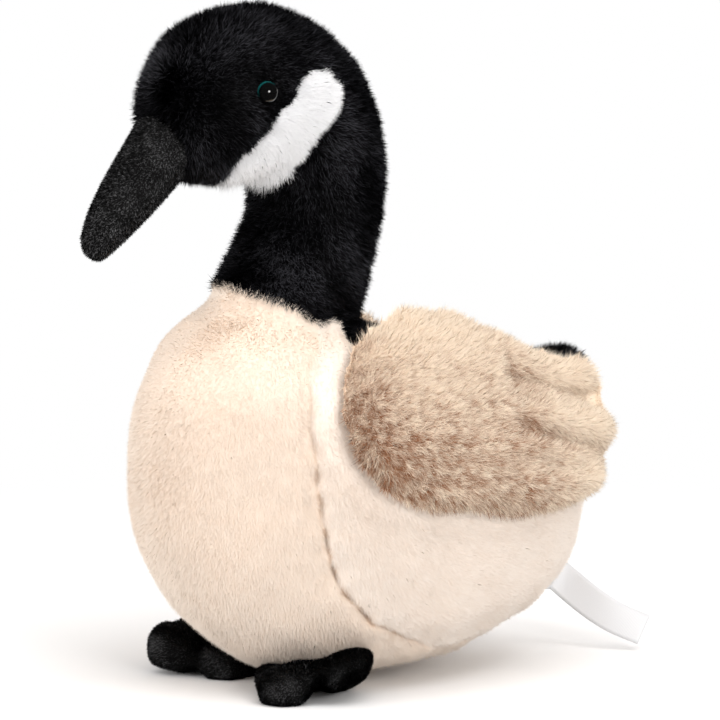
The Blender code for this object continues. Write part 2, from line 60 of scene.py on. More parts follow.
class PileSettings(bpy.types.PropertyGroup):
    """Pile of one kind of cloth."""

    length: FloatProperty(name="Length", description="Length of a tuft", default=0.0045, unit="LENGTH")
    width: FloatProperty(name="Width", description="Width of a root", default=0.0005, unit="LENGTH")
    per_mm2: FloatProperty(name="Per square mm", description="Tufts on each square millimetre", default=3.6)
    lean: FloatProperty(name="Lean", description="From 0, upright, to 1, flat", default=0.6)
    stray: FloatProperty(name="Stray", description="How far tufts turn out of the lay", default=0.3)
    clump: FloatProperty(name="Clump", description="How strongly neighbouring tufts bunch", default=0.5)
    clump_size: FloatProperty(name="Clump size", description="Width of a bunch", default=0.006, unit="LENGTH")
    spread: FloatProperty(name="Tone spread", description="How much single tufts differ", default=0.25)
    fleck: FloatProperty(name="Flecks", description="How strongly bunches differ in tone", default=0.0)
    under: FloatProperty(name="Skin tone", description="From 0, like roots, to 1, like tips", default=0.02)


def colour(name, description):
    return FloatVectorProperty(
        name=name, description=description, subtype="COLOR", size=3, default=(0.5, 0.5, 0.5), min=0.0, max=1.0
    )


class CoatSettings(bpy.types.PropertyGroup):
    """Colours and finish of one kind of cloth."""

    root_dark: colour("Dark roots", "Root colour of the darkest tufts")
    root_pale: colour("Pale roots", "Root colour of the palest tufts")
    tip_dark: colour("Dark tips", "Tip colour of the darkest tufts")
    tip_pale: colour("Pale tips", "Tip colour of the palest tufts")
    depth: FloatProperty(name="Shade depth", description="How soon a tuft takes its tip colour", default=0.6)
    bend: FloatProperty(name="Tone bend", description="Above 1, fewer tufts are pale", default=1.0)
    roughness: FloatProperty(name="Roughness", description="Roughness of a tuft", default=0.9)
    sheen: FloatProperty(name="Sheen", description="Soft shine at a slant", default=0.15)
    shine: FloatProperty(name="Shine", description="Plain shine", default=0.1)


class GooseSettings(bpy.types.PropertyGroup):
    """Everything about the goose that a user would change."""

    short: PointerProperty(type=PileSettings)
    medium: PointerProperty(type=PileSettings)
    cheek: PointerProperty(type=PileSettings)
    frosted: PointerProperty(type=PileSettings)
    velour: PointerProperty(type=PileSettings)
    cream_pile: PointerProperty(type=CoatSettings)
    pale_cream_pile: PointerProperty(type=CoatSettings)
    black_pile: PointerProperty(type=CoatSettings)
    white_pile: PointerProperty(type=CoatSettings)
    frosted_pile: PointerProperty(type=CoatSettings)
    beak_velour: PointerProperty(type=CoatSettings)
    foot_velour: PointerProperty(type=CoatSettings)
    seed: IntProperty(name="Seed", description="Start of every random choice", default=7)
    voxel: FloatProperty(name="Skin detail", description="Corners' spacing", default=0.003, unit="LENGTH")
    seam_depth: FloatProperty(name="Seam depth", description="How deep", default=0.002, unit="LENGTH")
    seam_width: FloatProperty(name="Seam width", description="How wide", default=0.004, unit="LENGTH")
    azimuth: FloatProperty(name="Azimuth", description="Camera round the goose, in degrees", default=55.0)
    elevation: FloatProperty(name="Elevation", description="Camera above level, in degrees", default=9.0)
    distance: FloatProperty(name="Distance", description="Camera to goose", default=4.0, unit="LENGTH")
    frame_width: FloatProperty(name="Width", description="Width in view", default=0.3098, unit="LENGTH")


PILES = {
    "short": dict(
        length=0.0024, width=0.00032, per_mm2=4.2, lean=0.5, stray=0.25, clump=0.25, clump_size=0.004,
        spread=0.22, under=0.5
    ),
    "medium": dict(
        length=0.0042, width=0.00045, per_mm2=4.6, lean=0.45, stray=0.35, clump=0.9, clump_size=0.004,
        spread=0.9
    ),
    "cheek": dict(
        length=0.0042, width=0.0004, per_mm2=6.0, lean=0.5, stray=0.3, clump=0.5, clump_size=0.005,
        spread=0.3
    ),
    "frosted": dict(
        length=0.0046, width=0.00031, per_mm2=7.8, lean=0.45, stray=0.42, clump=0.6, clump_size=0.0021,
        spread=0.8, under=0.4, fleck=3.9
    ),
    "velour": dict(
        length=0.0012, width=0.00032, per_mm2=5.2, lean=0.4, stray=0.4, clump=0.3, clump_size=0.003,
        spread=0.9
    ),
}


def black_velour(level):
    """Black velour, its pale tips a painted sheen whose strength the level sets."""
    middle = (0.004 * level,) * 3
    pale = (0.06 * level, 0.06 * level, 0.062 * level)
    return dict(
        root_dark=(0.0012,) * 3, root_pale=middle, tip_dark=middle, tip_pale=pale,
        depth=0.8, bend=3.0, roughness=0.6, sheen=0.0, shine=0.06
    )


COATS = {
    "cream_pile": dict(
        root_dark=(0.72, 0.52, 0.37), root_pale=(0.965, 0.845, 0.735),
        tip_dark=(0.78, 0.59, 0.44), tip_pale=(0.965, 0.85, 0.74)
    ),
    "pale_cream_pile": dict(
        root_dark=(0.66, 0.48, 0.34), root_pale=(0.985, 0.885, 0.79),
        tip_dark=(0.78, 0.6, 0.46), tip_pale=(0.99, 0.905, 0.825)
    ),
    "black_pile": dict(
        root_dark=(0.0006, 0.0006, 0.0008), root_pale=(0.002, 0.002, 0.0025),
        tip_dark=(0.0014, 0.0014, 0.0018), tip_pale=(0.08, 0.08, 0.092),
        depth=0.9, bend=4.5, roughness=0.5, sheen=0.0, shine=0.04
    ),
    "white_pile": dict(
        root_dark=(0.7, 0.71, 0.74), root_pale=(0.86, 0.865, 0.88),
        tip_dark=(0.84, 0.85, 0.87), tip_pale=(0.96, 0.96, 0.965),
        sheen=0.2
    ),
    "frosted_pile": dict(
        root_dark=(0.22, 0.085, 0.035), root_pale=(0.95, 0.73, 0.55),
        tip_dark=(0.38, 0.165, 0.075), tip_pale=(1.0, 0.88, 0.715),
        roughness=0.8, sheen=0.1
    ),
    "beak_velour": black_velour(4.4),
    "foot_velour": black_velour(2.1),
}


# Shapes


def new_object(name, mesh):
    made = bpy.data.objects.new(name, mesh)
    bpy.context.scene.collection.objects.link(made)
    return made


def merged_copy(nodes, grow):
    """The nodes' faces as one mesh, each shell merged and grown a little so that neighbours overlap."""
    whole = bmesh.new()
    for node in nodes:
        piece = bmesh.new()
        piece.from_mesh(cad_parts[node].data)
        bmesh.ops.remove_doubles(piece, verts=piece.verts, dist=0.00001)
        piece.normal_update()
        for vertex in piece.verts:
            vertex.co += vertex.normal * grow
        mesh = bpy.data.meshes.new("copy")
        piece.to_mesh(mesh)
        piece.free()
        whole.from_mesh(mesh)
        bpy.data.meshes.remove(mesh)
    mesh = bpy.data.meshes.new("member")
    whole.to_mesh(mesh)
    whole.free()
    return mesh


def evaluated(target):
    graph = bpy.context.evaluated_depsgraph_get()
    return bpy.data.meshes.new_from_object(target.evaluated_get(graph))


def largest_island(mesh):
    """Keep only the outer skin of a remeshed form."""
    work = bmesh.new()
    work.from_mesh(mesh)
    left, best = set(work.verts), []
    while left:
        start = left.pop()
        island, edge = [start], [start]
        while edge:
            vertex = edge.pop()
            for link in vertex.link_edges:
                other = link.other_vert(vertex)
                if other in left:
                    left.discard(other)
                    island.append(other)
                    edge.append(other)
        if len(island) > len(best):
            best = island
    keep = set(best)
    bmesh.ops.delete(work, geom=[v for v in work.verts if v not in keep], context="VERTS")
    work.to_mesh(mesh)
    work.free()


OVERLAP = 0.0003


def skin_of(name, nodes, voxel, smooth):
    """One smooth closed skin round the given nodes."""
    source = new_object(name, merged_copy(nodes, OVERLAP))
    remesh = source.modifiers.new("remesh", "REMESH")
    remesh.mode = "VOXEL"
    remesh.voxel_size = voxel
    mesh = evaluated(source)
    bpy.data.objects.remove(source)
    largest_island(mesh)
    skin = new_object(name, mesh)
    soften = skin.modifiers.new("soften", "SMOOTH")
    soften.factor = 0.5
    soften.iterations = smooth
    mesh = evaluated(skin)
    bpy.data.objects.remove(skin)
    return mesh


def arrays(mesh):
    places = np.empty(len(mesh.vertices) * 3)
    mesh.vertices.foreach_get("co", places)
    normals = np.empty(len(mesh.vertices) * 3)
    mesh.vertex_normals.foreach_get("vector", normals)
    return places.reshape(-1, 3), normals.reshape(-1, 3)


def place_vertices(mesh, places):
    mesh.vertices.foreach_set("co", np.ascontiguousarray(places, float).ravel())
    mesh.update()


def tree_of(node):
    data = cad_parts[node].data
    return BVHTree.FromPolygons([v.co for v in data.vertices], [p.vertices for p in data.polygons])


def distances(places, nodes):
    """Distance of every place to every node's surface, as rows by nodes."""
    trees = [tree_of(node) for node in nodes]
    found = np.empty((len(places), len(nodes)))
    for i, place in enumerate(places):
        at = Vector(place)
        for j, tree in enumerate(trees):
            found[i, j] = tree.find_nearest(at)[3]
    return found


def bump(distance, width):
    return np.exp(-((distance / width) ** 2))


def mix(low, high, way):
    return low + (high - low) * way


def ramp(value, low, high):
    way = np.clip((value - low) / (high - low), 0, 1)
    return way * way * (3 - 2 * way)


def unit(vectors):
    return vectors / np.maximum(np.linalg.norm(vectors, axis=1, keepdims=True), 1e-9)


def on_surface(vectors, normals):
    """Vectors laid along the surface."""
    return unit(vectors - normals * np.sum(vectors * normals, axis=1, keepdims=True))


def waves(places, size, seed):
    """A soft, seeded ripple over space, from -1 to 1."""
    rng = np.random.default_rng(seed)
    total = np.zeros(len(places))
    for _ in range(10):
        way = unit(rng.normal(size=(1, 3)))[0]
        rate = 2 * math.pi / size * rng.uniform(0.6, 1.6)
        total += np.sin(places @ way * rate + rng.uniform(0, 2 * math.pi))
    return total / 3.2


def put(mesh, name, values):
    kind = "FLOAT_VECTOR" if values.ndim == 2 else "FLOAT"
    made = mesh.attributes.get(name) or mesh.attributes.new(name, kind, "POINT")
    part = "vector" if values.ndim == 2 else "value"
    made.data.foreach_set(part, np.ascontiguousarray(values, np.float32).ravel())


def set_pile(mesh, lay, tone, length=1.0, density=1.0, fleck=0.0):
    """Write how the pile lies, and how pale, long, close and flecked it is."""
    put(mesh, "lay", lay)
    for name, values in (("tone", tone), ("length", length), ("density", density), ("fleck", fleck)):
        put(mesh, name, np.broadcast_to(values, len(mesh.vertices)))


def refined(mesh, near):
    """Split the faces of a skin that touch the chosen corners, so that a seam can be narrow."""
    work = bmesh.new()
    work.from_mesh(mesh)
    work.verts.ensure_lookup_table()
    edges = [e for e in work.edges if near[e.verts[0].index] or near[e.verts[1].index]]
    bmesh.ops.subdivide_edges(work, edges=edges, cuts=2, use_grid_fill=True)
    bmesh.ops.triangulate(work, faces=[f for f in work.faces if len(f.verts) > 4])
    work.to_mesh(mesh)
    work.free()


# Light, slack cloth under even pressure
CLOTH = dict(
    quality=4,
    mass=0.0005,
    tension_stiffness=1.0,
    compression_stiffness=1.0,
    shear_stiffness=1.0,
    bending_stiffness=0.01,
    use_pressure=True,
    uniform_pressure_force=4.0,
)
CLOTH_FRAMES = 20


def inflate(mesh, held, cap):
    """Let the cloth swell under its filling for a few frames, held where the stitches pull it in."""
    before, _ = arrays(mesh)
    source = new_object("cloth", mesh.copy())
    group = source.vertex_groups.new(name="held")
    for index in np.flatnonzero(held > 0.5):
        group.add([int(index)], 1.0, "REPLACE")
    modifier = source.modifiers.new("cloth", "CLOTH")
    for name, value in CLOTH.items():
        setattr(modifier.settings, name, value)
    modifier.settings.vertex_group_mass = group.name
    modifier.settings.effector_weights.gravity = 0.0
    modifier.collision_settings.use_collision = False
    for time in range(1, CLOTH_FRAMES + 1):
        bpy.context.scene.frame_set(time)
    swollen = evaluated(source)
    after, _ = arrays(swollen)
    bpy.context.scene.frame_set(1)
    bpy.data.objects.remove(source)
    bpy.data.meshes.remove(swollen)
    moved = after - before
    reach = np.linalg.norm(moved, axis=1, keepdims=True)
    place_vertices(mesh, before + moved * np.minimum(1.0, cap / np.maximum(reach, 1e-9)))


def patches(mesh, owner, names):
    """Split a skin into one mesh for each panel, by the panel that owns most of a face's corners."""
    found = {}
    votes = [np.bincount([owner[v] for v in face.vertices]).argmax() for face in mesh.polygons]
    for index, name in enumerate(names):
        work = bmesh.new()
        work.from_mesh(mesh)
        work.faces.ensure_lookup_table()
        bmesh.ops.delete(work, geom=[f for f in work.faces if votes[f.index] != index], context="FACES")
        part = bpy.data.meshes.new(name)
        work.to_mesh(part)
        work.free()
        if len(part.polygons):
            found[name] = part
    return found


# Pile, made by Geometry Nodes


def pile_tree():
    """A node tree that sets tufts on a skin which carries lay, length, tone and density."""
    tree = bpy.data.node_groups.new("Pile tufts", "GeometryNodeTree")
    face = tree.interface
    face.new_socket("Geometry", in_out="INPUT", socket_type="NodeSocketGeometry")
    for name, value in (
        ("Length", 0.0045),
        ("Width", 0.0005),
        ("Density", 3.6e6),
        ("Lean", 0.6),
        ("Stray", 0.3),
        ("Clump", 0.5),
        ("Clump scale", 160.0),
        ("Tone spread", 0.25),
        ("Fleck", 0.0),
    ):
        face.new_socket(name, in_out="INPUT", socket_type="NodeSocketFloat").default_value = value
    face.new_socket("Seed", in_out="INPUT", socket_type="NodeSocketInt").default_value = 7
    face.new_socket("Material", in_out="INPUT", socket_type="NodeSocketMaterial")
    face.new_socket("Geometry", in_out="OUTPUT", socket_type="NodeSocketGeometry")
    new, link = tree.nodes.new, tree.links.new

    def maths(kind, one, two=None):
        node = new("ShaderNodeMath")
        node.operation = kind
        for socket, value in zip(node.inputs, (one, two)):
            if isinstance(value, (int, float)):
                socket.default_value = value
            elif value is not None:
                link(value, socket)
        return node.outputs[0]

    def vector(kind, one, two=None, factor=None):
        node = new("ShaderNodeVectorMath")
        node.operation = kind
        link(one, node.inputs[0])
        if isinstance(two, tuple):
            node.inputs[1].default_value = two
        elif two is not None:
            link(two, node.inputs[1])
        if isinstance(factor, (int, float)):
            node.inputs["Scale"].default_value = factor
        elif factor is not None:
            link(factor, node.inputs["Scale"])
        return node.outputs[0]

    def named(name, kind):
        node = new("GeometryNodeInputNamedAttribute")
        node.data_type = kind
        node.inputs["Name"].default_value = name
        return node.outputs["Attribute"]

    def store(geometry, name, kind, domain, value):
        node = new("GeometryNodeStoreNamedAttribute")
        node.data_type = kind
        node.domain = domain
        node.inputs["Name"].default_value = name
        link(geometry, node.inputs["Geometry"])
        link(value, node.inputs["Value"])
        return node.outputs["Geometry"]

    def chance(low, high, seed, kind="FLOAT"):
        node = new("FunctionNodeRandomValue")
        node.data_type = kind
        low_socket = next(s for s in node.inputs if s.enabled and s.name == "Min")
        high_socket = next(s for s in node.inputs if s.enabled and s.name == "Max")
        low_socket.default_value = low
        high_socket.default_value = high
        link(maths("ADD", given.outputs["Seed"], seed), node.inputs["Seed"])
        return next(s for s in node.outputs if s.enabled)

    given = new("NodeGroupInput")
    spots = new("GeometryNodeDistributePointsOnFaces")
    spots.distribute_method = "RANDOM"
    link(given.outputs["Geometry"], spots.inputs["Mesh"])
    link(maths("MULTIPLY", given.outputs["Density"], named("density", "FLOAT")), spots.inputs["Density"])
    link(given.outputs["Seed"], spots.inputs["Seed"])

    noise = new("ShaderNodeTexNoise")
    noise.noise_dimensions = "3D"
    link(new("GeometryNodeInputPosition").outputs[0], noise.inputs["Vector"])
    link(given.outputs["Clump scale"], noise.inputs["Scale"])
    noise.inputs["Detail"].default_value = 2.0
    fleck = maths("MULTIPLY", maths("SUBTRACT", noise.outputs["Fac"], 0.5), given.outputs["Fleck"])
    single = maths("MULTIPLY", chance(-0.5, 0.5, 11), given.outputs["Tone spread"])
    tone = maths("ADD", named("tone", "FLOAT"), single)
    tone = maths("ADD", tone, maths("MULTIPLY", fleck, named("fleck", "FLOAT")))
    tone = maths("MAXIMUM", maths("MINIMUM", tone, 0.985), 0.015)
    points = store(spots.outputs["Points"], "tuft_tone", "FLOAT", "POINT", tone)
    points = store(points, "skin_normal", "FLOAT_VECTOR", "POINT", spots.outputs["Normal"])

    bunch = vector("SUBTRACT", noise.outputs["Color"], (0.5, 0.5, 0.5))
    bunch = vector("SCALE", bunch, factor=given.outputs["Clump"])
    anyway = chance((-1, -1, -1), (1, 1, 1), 23, "FLOAT_VECTOR")
    stray = vector("SCALE", anyway, factor=given.outputs["Stray"])
    along = vector("SCALE", named("lay", "FLOAT_VECTOR"), factor=given.outputs["Lean"])
    upright = maths("SUBTRACT", 1.0, given.outputs["Lean"])
    up = vector("SCALE", named("skin_normal", "FLOAT_VECTOR"), factor=upright)
    way = vector("ADD", vector("ADD", along, up), vector("ADD", bunch, stray))
    turn = new("FunctionNodeAxesToRotation")
    turn.primary_axis = "Z"
    turn.secondary_axis = "Y"
    link(way, turn.inputs["Primary Axis"])
    roll = vector("SCALE", chance((-1, -1, -1), (1, 1, 1), 31, "FLOAT_VECTOR"), factor=0.35)
    facing = vector("ADD", vector("SCALE", named("skin_normal", "FLOAT_VECTOR"), factor=-1.0), roll)
    link(facing, turn.inputs["Secondary Axis"])

    size = new("ShaderNodeCombineXYZ")
    link(maths("MULTIPLY", given.outputs["Width"], chance(0.7, 1.3, 41)), size.inputs["X"])
    size.inputs["Y"].default_value = 1.0
    long = maths("MULTIPLY", given.outputs["Length"], named("length", "FLOAT"))
    link(maths("MULTIPLY", long, chance(0.65, 1.3, 43)), size.inputs["Z"])

    ring = new("GeometryNodeMeshCircle")
    ring.fill_type = "NGON"
    ring.inputs["Vertices"].default_value = 3
    index = new("GeometryNodeInputIndex").outputs[0]
    tip = maths("COMPARE", index, 2.0)
    ends = maths("SUBTRACT", maths("MULTIPLY", index, 2.0), 1.0)
    side = maths("MULTIPLY", ends, maths("SUBTRACT", 1.0, tip))
    spot = new("ShaderNodeCombineXYZ")
    link(maths("MULTIPLY", side, 0.5), spot.inputs["X"])
    link(tip, spot.inputs["Z"])
    shape = new("GeometryNodeSetPosition")
    link(ring.outputs["Mesh"], shape.inputs["Geometry"])
    link(spot.outputs[0], shape.inputs["Position"])
    blade = store(shape.outputs[0], "tip", "FLOAT", "POINT", tip)
    blade = store(blade, "side", "FLOAT", "POINT", side)

    tufts = new("GeometryNodeInstanceOnPoints")
    link(points, tufts.inputs["Points"])
    link(blade, tufts.inputs["Instance"])
    link(turn.outputs[0], tufts.inputs["Rotation"])
    link(size.outputs[0], tufts.inputs["Scale"])
    real = new("GeometryNodeRealizeInstances")
    link(tufts.outputs[0], real.inputs["Geometry"])

    flat = new("ShaderNodeCombineXYZ")
    narrow = maths("MULTIPLY", named("side", "FLOAT"), 0.006)
    link(maths("ADD", named("tuft_tone", "FLOAT"), narrow), flat.inputs["X"])
    link(maths("ADD", maths("MULTIPLY", named("tip", "FLOAT"), 0.94), 0.03), flat.inputs["Y"])
    pile = store(real.outputs[0], UV, "FLOAT2", "CORNER", flat.outputs[0])

    own = new("GeometryNodeInputNormal").outputs[0]
    shade = vector("ADD", named("skin_normal", "FLOAT_VECTOR"), vector("SCALE", own, factor=0.3))
    shade = vector("NORMALIZE", shade)
    smooth = new("GeometryNodeSetMeshNormal")
    smooth.mode = "FREE"
    smooth.domain = "CORNER"
    link(pile, smooth.inputs["Mesh"])
    link(shade, next(s for s in smooth.inputs if s.enabled and s.type == "VECTOR"))

    both = new("GeometryNodeJoinGeometry")
    link(smooth.outputs[0], both.inputs[0])
    link(given.outputs["Geometry"], both.inputs[0])
    paint = new("GeometryNodeSetMaterial")
    link(both.outputs[0], paint.inputs["Geometry"])
    link(given.outputs["Material"], paint.inputs["Material"])
    link(paint.outputs[0], new("NodeGroupOutput").inputs[0])
    return tree


def skin_map(mesh, under):
    """The skin's own map: its tone across and, upward, how far from root to tip it looks."""
    tone = np.empty(len(mesh.vertices), np.float32)
    mesh.attributes["tone"].data.foreach_get("value", tone)
    places, _ = arrays(mesh)
    corners = np.empty(len(mesh.loops), np.int32)
    mesh.loops.foreach_get("vertex_index", corners)
    drift = places[corners, 1] * 0.3 + places[corners, 0] * 0.1
    across = np.clip(tone[corners] * 0.9 + 0.05 + drift, 0.01, 0.99)
    upward = np.clip(under + (places[corners, 2] % 0.05) * 0.4, 0.0, under + 0.03)
    layer = mesh.uv_layers.new(name=UV)
    layer.data.foreach_set("uv", np.column_stack([across, upward]).astype(np.float32).ravel())


def grow_pile(name, mesh, pile, material):
    """Give a skin its tufts and return the finished plain piece."""
    settings = bpy.context.scene.goose
    tree = bpy.data.node_groups.get("Pile tufts") or pile_tree()
    skin_map(mesh, pile.under)
    source = new_object(name, mesh)
    modifier = source.modifiers.new("pile", "NODES")
    modifier.node_group = tree
    values = {
        "Length": pile.length,
        "Width": pile.width,
        "Density": pile.per_mm2 * 1e6,
        "Lean": pile.lean,
        "Stray": pile.stray,
        "Clump": pile.clump,
        "Clump scale": 1 / pile.clump_size,
        "Tone spread": pile.spread,
        "Fleck": pile.fleck,
        "Seed": settings.seed,
        "Material": material,
    }
    for item in tree.interface.items_tree:
        if item.in_out == "INPUT" and item.name in values:
            modifier[item.identifier] = values[item.name]
    finished = evaluated(source)
    bpy.data.objects.remove(source)
    bpy.data.meshes.remove(mesh)
    finished.name = name
    for attribute in ("lay", "length", "tone", "density", "fleck", "tip", "side", "tuft_tone", "skin_normal"):
        if attribute in finished.attributes:
            finished.attributes.remove(finished.attributes[attribute])
    return new_object(name, finished)


# Materials


def add(tree, kind, inputs=None, **settings):
    """A node with its settings; each input is given a value or linked to a socket."""
    node = tree.nodes.new(kind)
    for name, value in settings.items():
        setattr(node, name, value)
    for name, value in (inputs or {}).items():
        if isinstance(value, bpy.types.NodeSocket):
            tree.links.new(value, node.inputs[name])
        else:
            node.inputs[name].default_value = value
    return node


# Where a Mix node set to colours keeps its two colours and its result
MIX_ONE, MIX_TWO, MIX_OUT = 6, 7, 2


def colour_mix(tree, factor, one, two):
    """A blend of two colours, each a value or a socket."""
    inputs = {"Factor": factor, MIX_ONE: one, MIX_TWO: two}
    return add(tree, "ShaderNodeMix", inputs, data_type="RGBA").outputs[MIX_OUT]


def own_map(tree):
    """The two coordinates of the piece's own map."""
    where = add(tree, "ShaderNodeUVMap", uv_map=UV)
    return add(tree, "ShaderNodeSeparateXYZ", {0: where.outputs[0]}).outputs


def principled(name, roughness, sheen=0.0, coat=0.0, shine=0.5):
    made = bpy.data.materials.new(name)
    made.use_nodes = True
    shader = made.node_tree.nodes["Principled BSDF"]
    shader.inputs["Roughness"].default_value = roughness
    shader.inputs["Sheen Weight"].default_value = sheen
    shader.inputs["Sheen Roughness"].default_value = 0.4
    shader.inputs["Coat Weight"].default_value = coat
    shader.inputs["IOR"].default_value = 1.5
    shader.inputs["Specular IOR Level"].default_value = shine
    return made, shader


def pile_colour_group():
    """Colour of pile from its map: tone across, root to tip upward."""
    tree = bpy.data.node_groups.new("Pile colour", "ShaderNodeTree")
    face = tree.interface
    for name in ("Root dark", "Root pale", "Tip dark", "Tip pale"):
        face.new_socket(name, in_out="INPUT", socket_type="NodeSocketColor")
    for name, value in (("Shade depth", 0.5), ("Tone bend", 1.0)):
        face.new_socket(name, in_out="INPUT", socket_type="NodeSocketFloat").default_value = value
    face.new_socket("Colour", in_out="OUTPUT", socket_type="NodeSocketColor")
    given = add(tree, "NodeGroupInput").outputs
    place = own_map(tree)
    tone = add(tree, "ShaderNodeMath", {0: place["X"], 1: given["Tone bend"]}, operation="POWER").outputs[0]
    rise = add(tree, "ShaderNodeMath", {0: place["Y"], 1: given["Shade depth"]}, operation="POWER").outputs[0]
    root = colour_mix(tree, tone, given["Root dark"], given["Root pale"])
    tip = colour_mix(tree, tone, given["Tip dark"], given["Tip pale"])
    add(tree, "NodeGroupOutput", {0: colour_mix(tree, rise, root, tip)})
    return tree


def coat_material(name):
    """The material of one cloth, made when it is first asked for."""
    found = bpy.data.materials.get(name)
    if found:
        return found
    coat = getattr(bpy.context.scene.goose, name.replace(" ", "_"))
    made, shader = principled(name, coat.roughness, coat.sheen, shine=coat.shine)
    group = made.node_tree.nodes.new("ShaderNodeGroup")
    group.node_tree = bpy.data.node_groups.get("Pile colour") or pile_colour_group()
    for socket, value in zip(group.inputs, (coat.root_dark, coat.root_pale, coat.tip_dark, coat.tip_pale)):
        socket.default_value = (*value, 1)
    group.inputs["Shade depth"].default_value = coat.depth
    group.inputs["Tone bend"].default_value = coat.bend
    made.node_tree.links.new(group.outputs[0], shader.inputs["Base Color"])
    return made


# Members


BODY_PANELS = [
    "breast_belly_panel",
    "side_panel_left",
    "side_panel_right",
    "back_panel",
    "neck_head_left",
    "neck_head_right",
    "cheek_patch_left",
    "cheek_patch_right",
]
CREAM_PANELS = (0, 1, 2)
BACK_PANEL = 3
NECK_PANELS = (4, 5)
CHEEK_PANEL = 6

# Cloth and pile of each panel
BODY_CLOTHS = {
    "breast_belly_panel": ("cream pile", "short"),
    "side_panel_left": ("pale cream pile", "short"),
    "side_panel_right": ("pale cream pile", "short"),
    "back_panel": ("black pile", "medium"),
    "neck_head_left": ("black pile", "medium"),
    "neck_head_right": ("black pile", "medium"),
    "cheek_patch_left": ("white pile", "cheek"),
    "cheek_patch_right": ("white pile", "cheek"),
}

JAW_OVERHANG = 0.009
SEAM_REARWARD = 0.009
THROAT_HEIGHT = 0.168
THROAT_PULL = 0.0035
BELLY_LIFT = 0.0055
BODY_INSET = 0.0016
HEAD_INSET = 0.0022
BACK_INSET = 0.002
SEAM_NEAR = 0.0035


def finish_piece(piece, nodes):
    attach(piece, "root")
    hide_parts(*nodes)


def body_panels(places):
    """The distance to each panel, the panel that owns each place and the distance to the nearest seam."""
    apart = distances(places, BODY_PANELS)
    forward, height = -places[:, 1], places[:, 2]
    # The white pile hangs over the black pile under the jaw and stops short of the chin
    jaw = 1 - ramp(height, 0.215, 0.235)
    overhang = JAW_OVERHANG * ramp(forward, 0.068, 0.08) - 0.002
    apart[:, CHEEK_PANEL:] += (overhang * jaw)[:, None]
    # The breast seam runs rearward behind the feet
    apart[:, 0] -= SEAM_REARWARD * (1 - ramp(height, 0.02, 0.062)) * ramp(forward, -0.01, 0.02)
    nearest = np.sort(apart, axis=1)
    return apart, apart.argmin(axis=1), nearest[:, 1] - nearest[:, 0]


def seam_strength(places, owner, head):
    """How strongly seams show: less on the crown, high on the breast and behind the feet."""
    forward, side, height = -places[:, 1], places[:, 0], places[:, 2]
    both_head = np.isin(owner, NECK_PANELS) & (np.abs(side) < 0.012)
    strength = np.where(both_head, 0.25, 1.0)
    strength *= 1 - (0.4 * ramp(height, 0.08, 0.12) + 0.5 * ramp(height, 0.13, 0.145)) * (1 - head)
    return strength * mix(0.35, 1.0, np.maximum(ramp(forward, 0.0, 0.03), ramp(height, 0.04, 0.06)))


def pull_in_body(mesh, owner, seam, strength, head):
    """Draw the skin in along its seams and at the throat, and lift the belly behind the feet."""
    goose = bpy.context.scene.goose
    places, normals = arrays(mesh)
    forward, height = -places[:, 1], places[:, 2]
    inset = mix(BODY_INSET, HEAD_INSET, head) + BACK_INSET * (owner == BACK_PANEL)
    wander = 1 + 0.5 * waves(places, 0.012, 8)
    dip = bump(seam, goose.seam_width) * 0.5 + bump(seam, 0.0011) * 0.7
    groove = goose.seam_depth * dip * strength * wander
    pucker = 0.0007 * waves(places, 0.035, 3) * (1 - head * 0.5)
    pucker += 0.0005 * waves(places, 0.012, 4) * bump(seam, 0.012)
    throat = THROAT_PULL * bump(height - THROAT_HEIGHT, 0.016) * ramp(-normals[:, 1], 0.2, 0.8)
    above_floor = ramp(height, 0.0, 0.006)
    moved = places - normals * (inset + throat + (groove - pucker) * above_floor)[:, None]
    moved[:, 2] += BELLY_LIFT * (1 - ramp(height, 0.0, 0.04)) * (1 - ramp(forward, 0.005, 0.045))
    place_vertices(mesh, moved)


def same_way(places, way):
    """One direction for every place."""
    return np.tile(way, (len(places), 1))


def body_lay(before, owner, collar, hang):
    """Lay of the pile: down the breast and neck, back over the flanks and the crown."""
    forward, side, height = -before[:, 1], before[:, 0], before[:, 2]
    crown = ramp(height, 0.225, 0.25)
    flank = ramp(-forward, -0.05, 0.03) * (1 - ramp(height, 0.16, 0.18))
    down, back = same_way(before, (0.0, 0.25, -1.0)), same_way(before, (0.0, 1.0, -0.35))
    way = mix(down, back, np.maximum(crown, flank)[:, None])
    way[:, 0] += np.sign(side) * 0.15
    # Cream pile turns up toward the neck at the collar
    neckward = mix(way, same_way(before, (0.15, 0.8, 1.0)), bump(collar, 0.005)[:, None])
    way = np.where(np.isin(owner, CREAM_PANELS)[:, None], neckward, way)
    # White pile hangs under the jaw
    return mix(way, same_way(before, (0.0, -0.1, -1.0)), hang[:, None])


def body_tone(places, owner, seam, strength, height, shaded):
    """Tone of the pile: cream with dark stitches and painted light on the shaded throat, and mottled black.
    """
    stitch = bump(seam, 0.0012) * strength * ramp(waves(places, 0.007, 21), -0.5, 0.6)
    stitch *= 1 - 0.75 * ramp(height, 0.075, 0.12)
    cream = 0.9 + 0.06 * waves(places, 0.05, 5) + 0.04 * waves(places, 0.012, 6)
    cream -= 0.08 * bump(seam, 0.003) + 0.8 * stitch
    black = 0.5 + 0.2 * waves(places, 0.03, 5)
    is_black = np.isin(owner, (BACK_PANEL, *NECK_PANELS))
    # Painted light: the cream is made paler where the throat lies in shade
    return np.clip(np.where(is_black, black, cream + 0.06 * shaded), 0, 1)


def eye_clearance(places):
    """How far each place lies from the nearer eye."""
    domes = [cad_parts[f"eye_{hand}"].data for hand in HANDS]
    eyes = [np.mean([v.co for v in dome.vertices], axis=0) for dome in domes]
    return np.min([np.linalg.norm(places - eye, axis=1) for eye in eyes], axis=0)


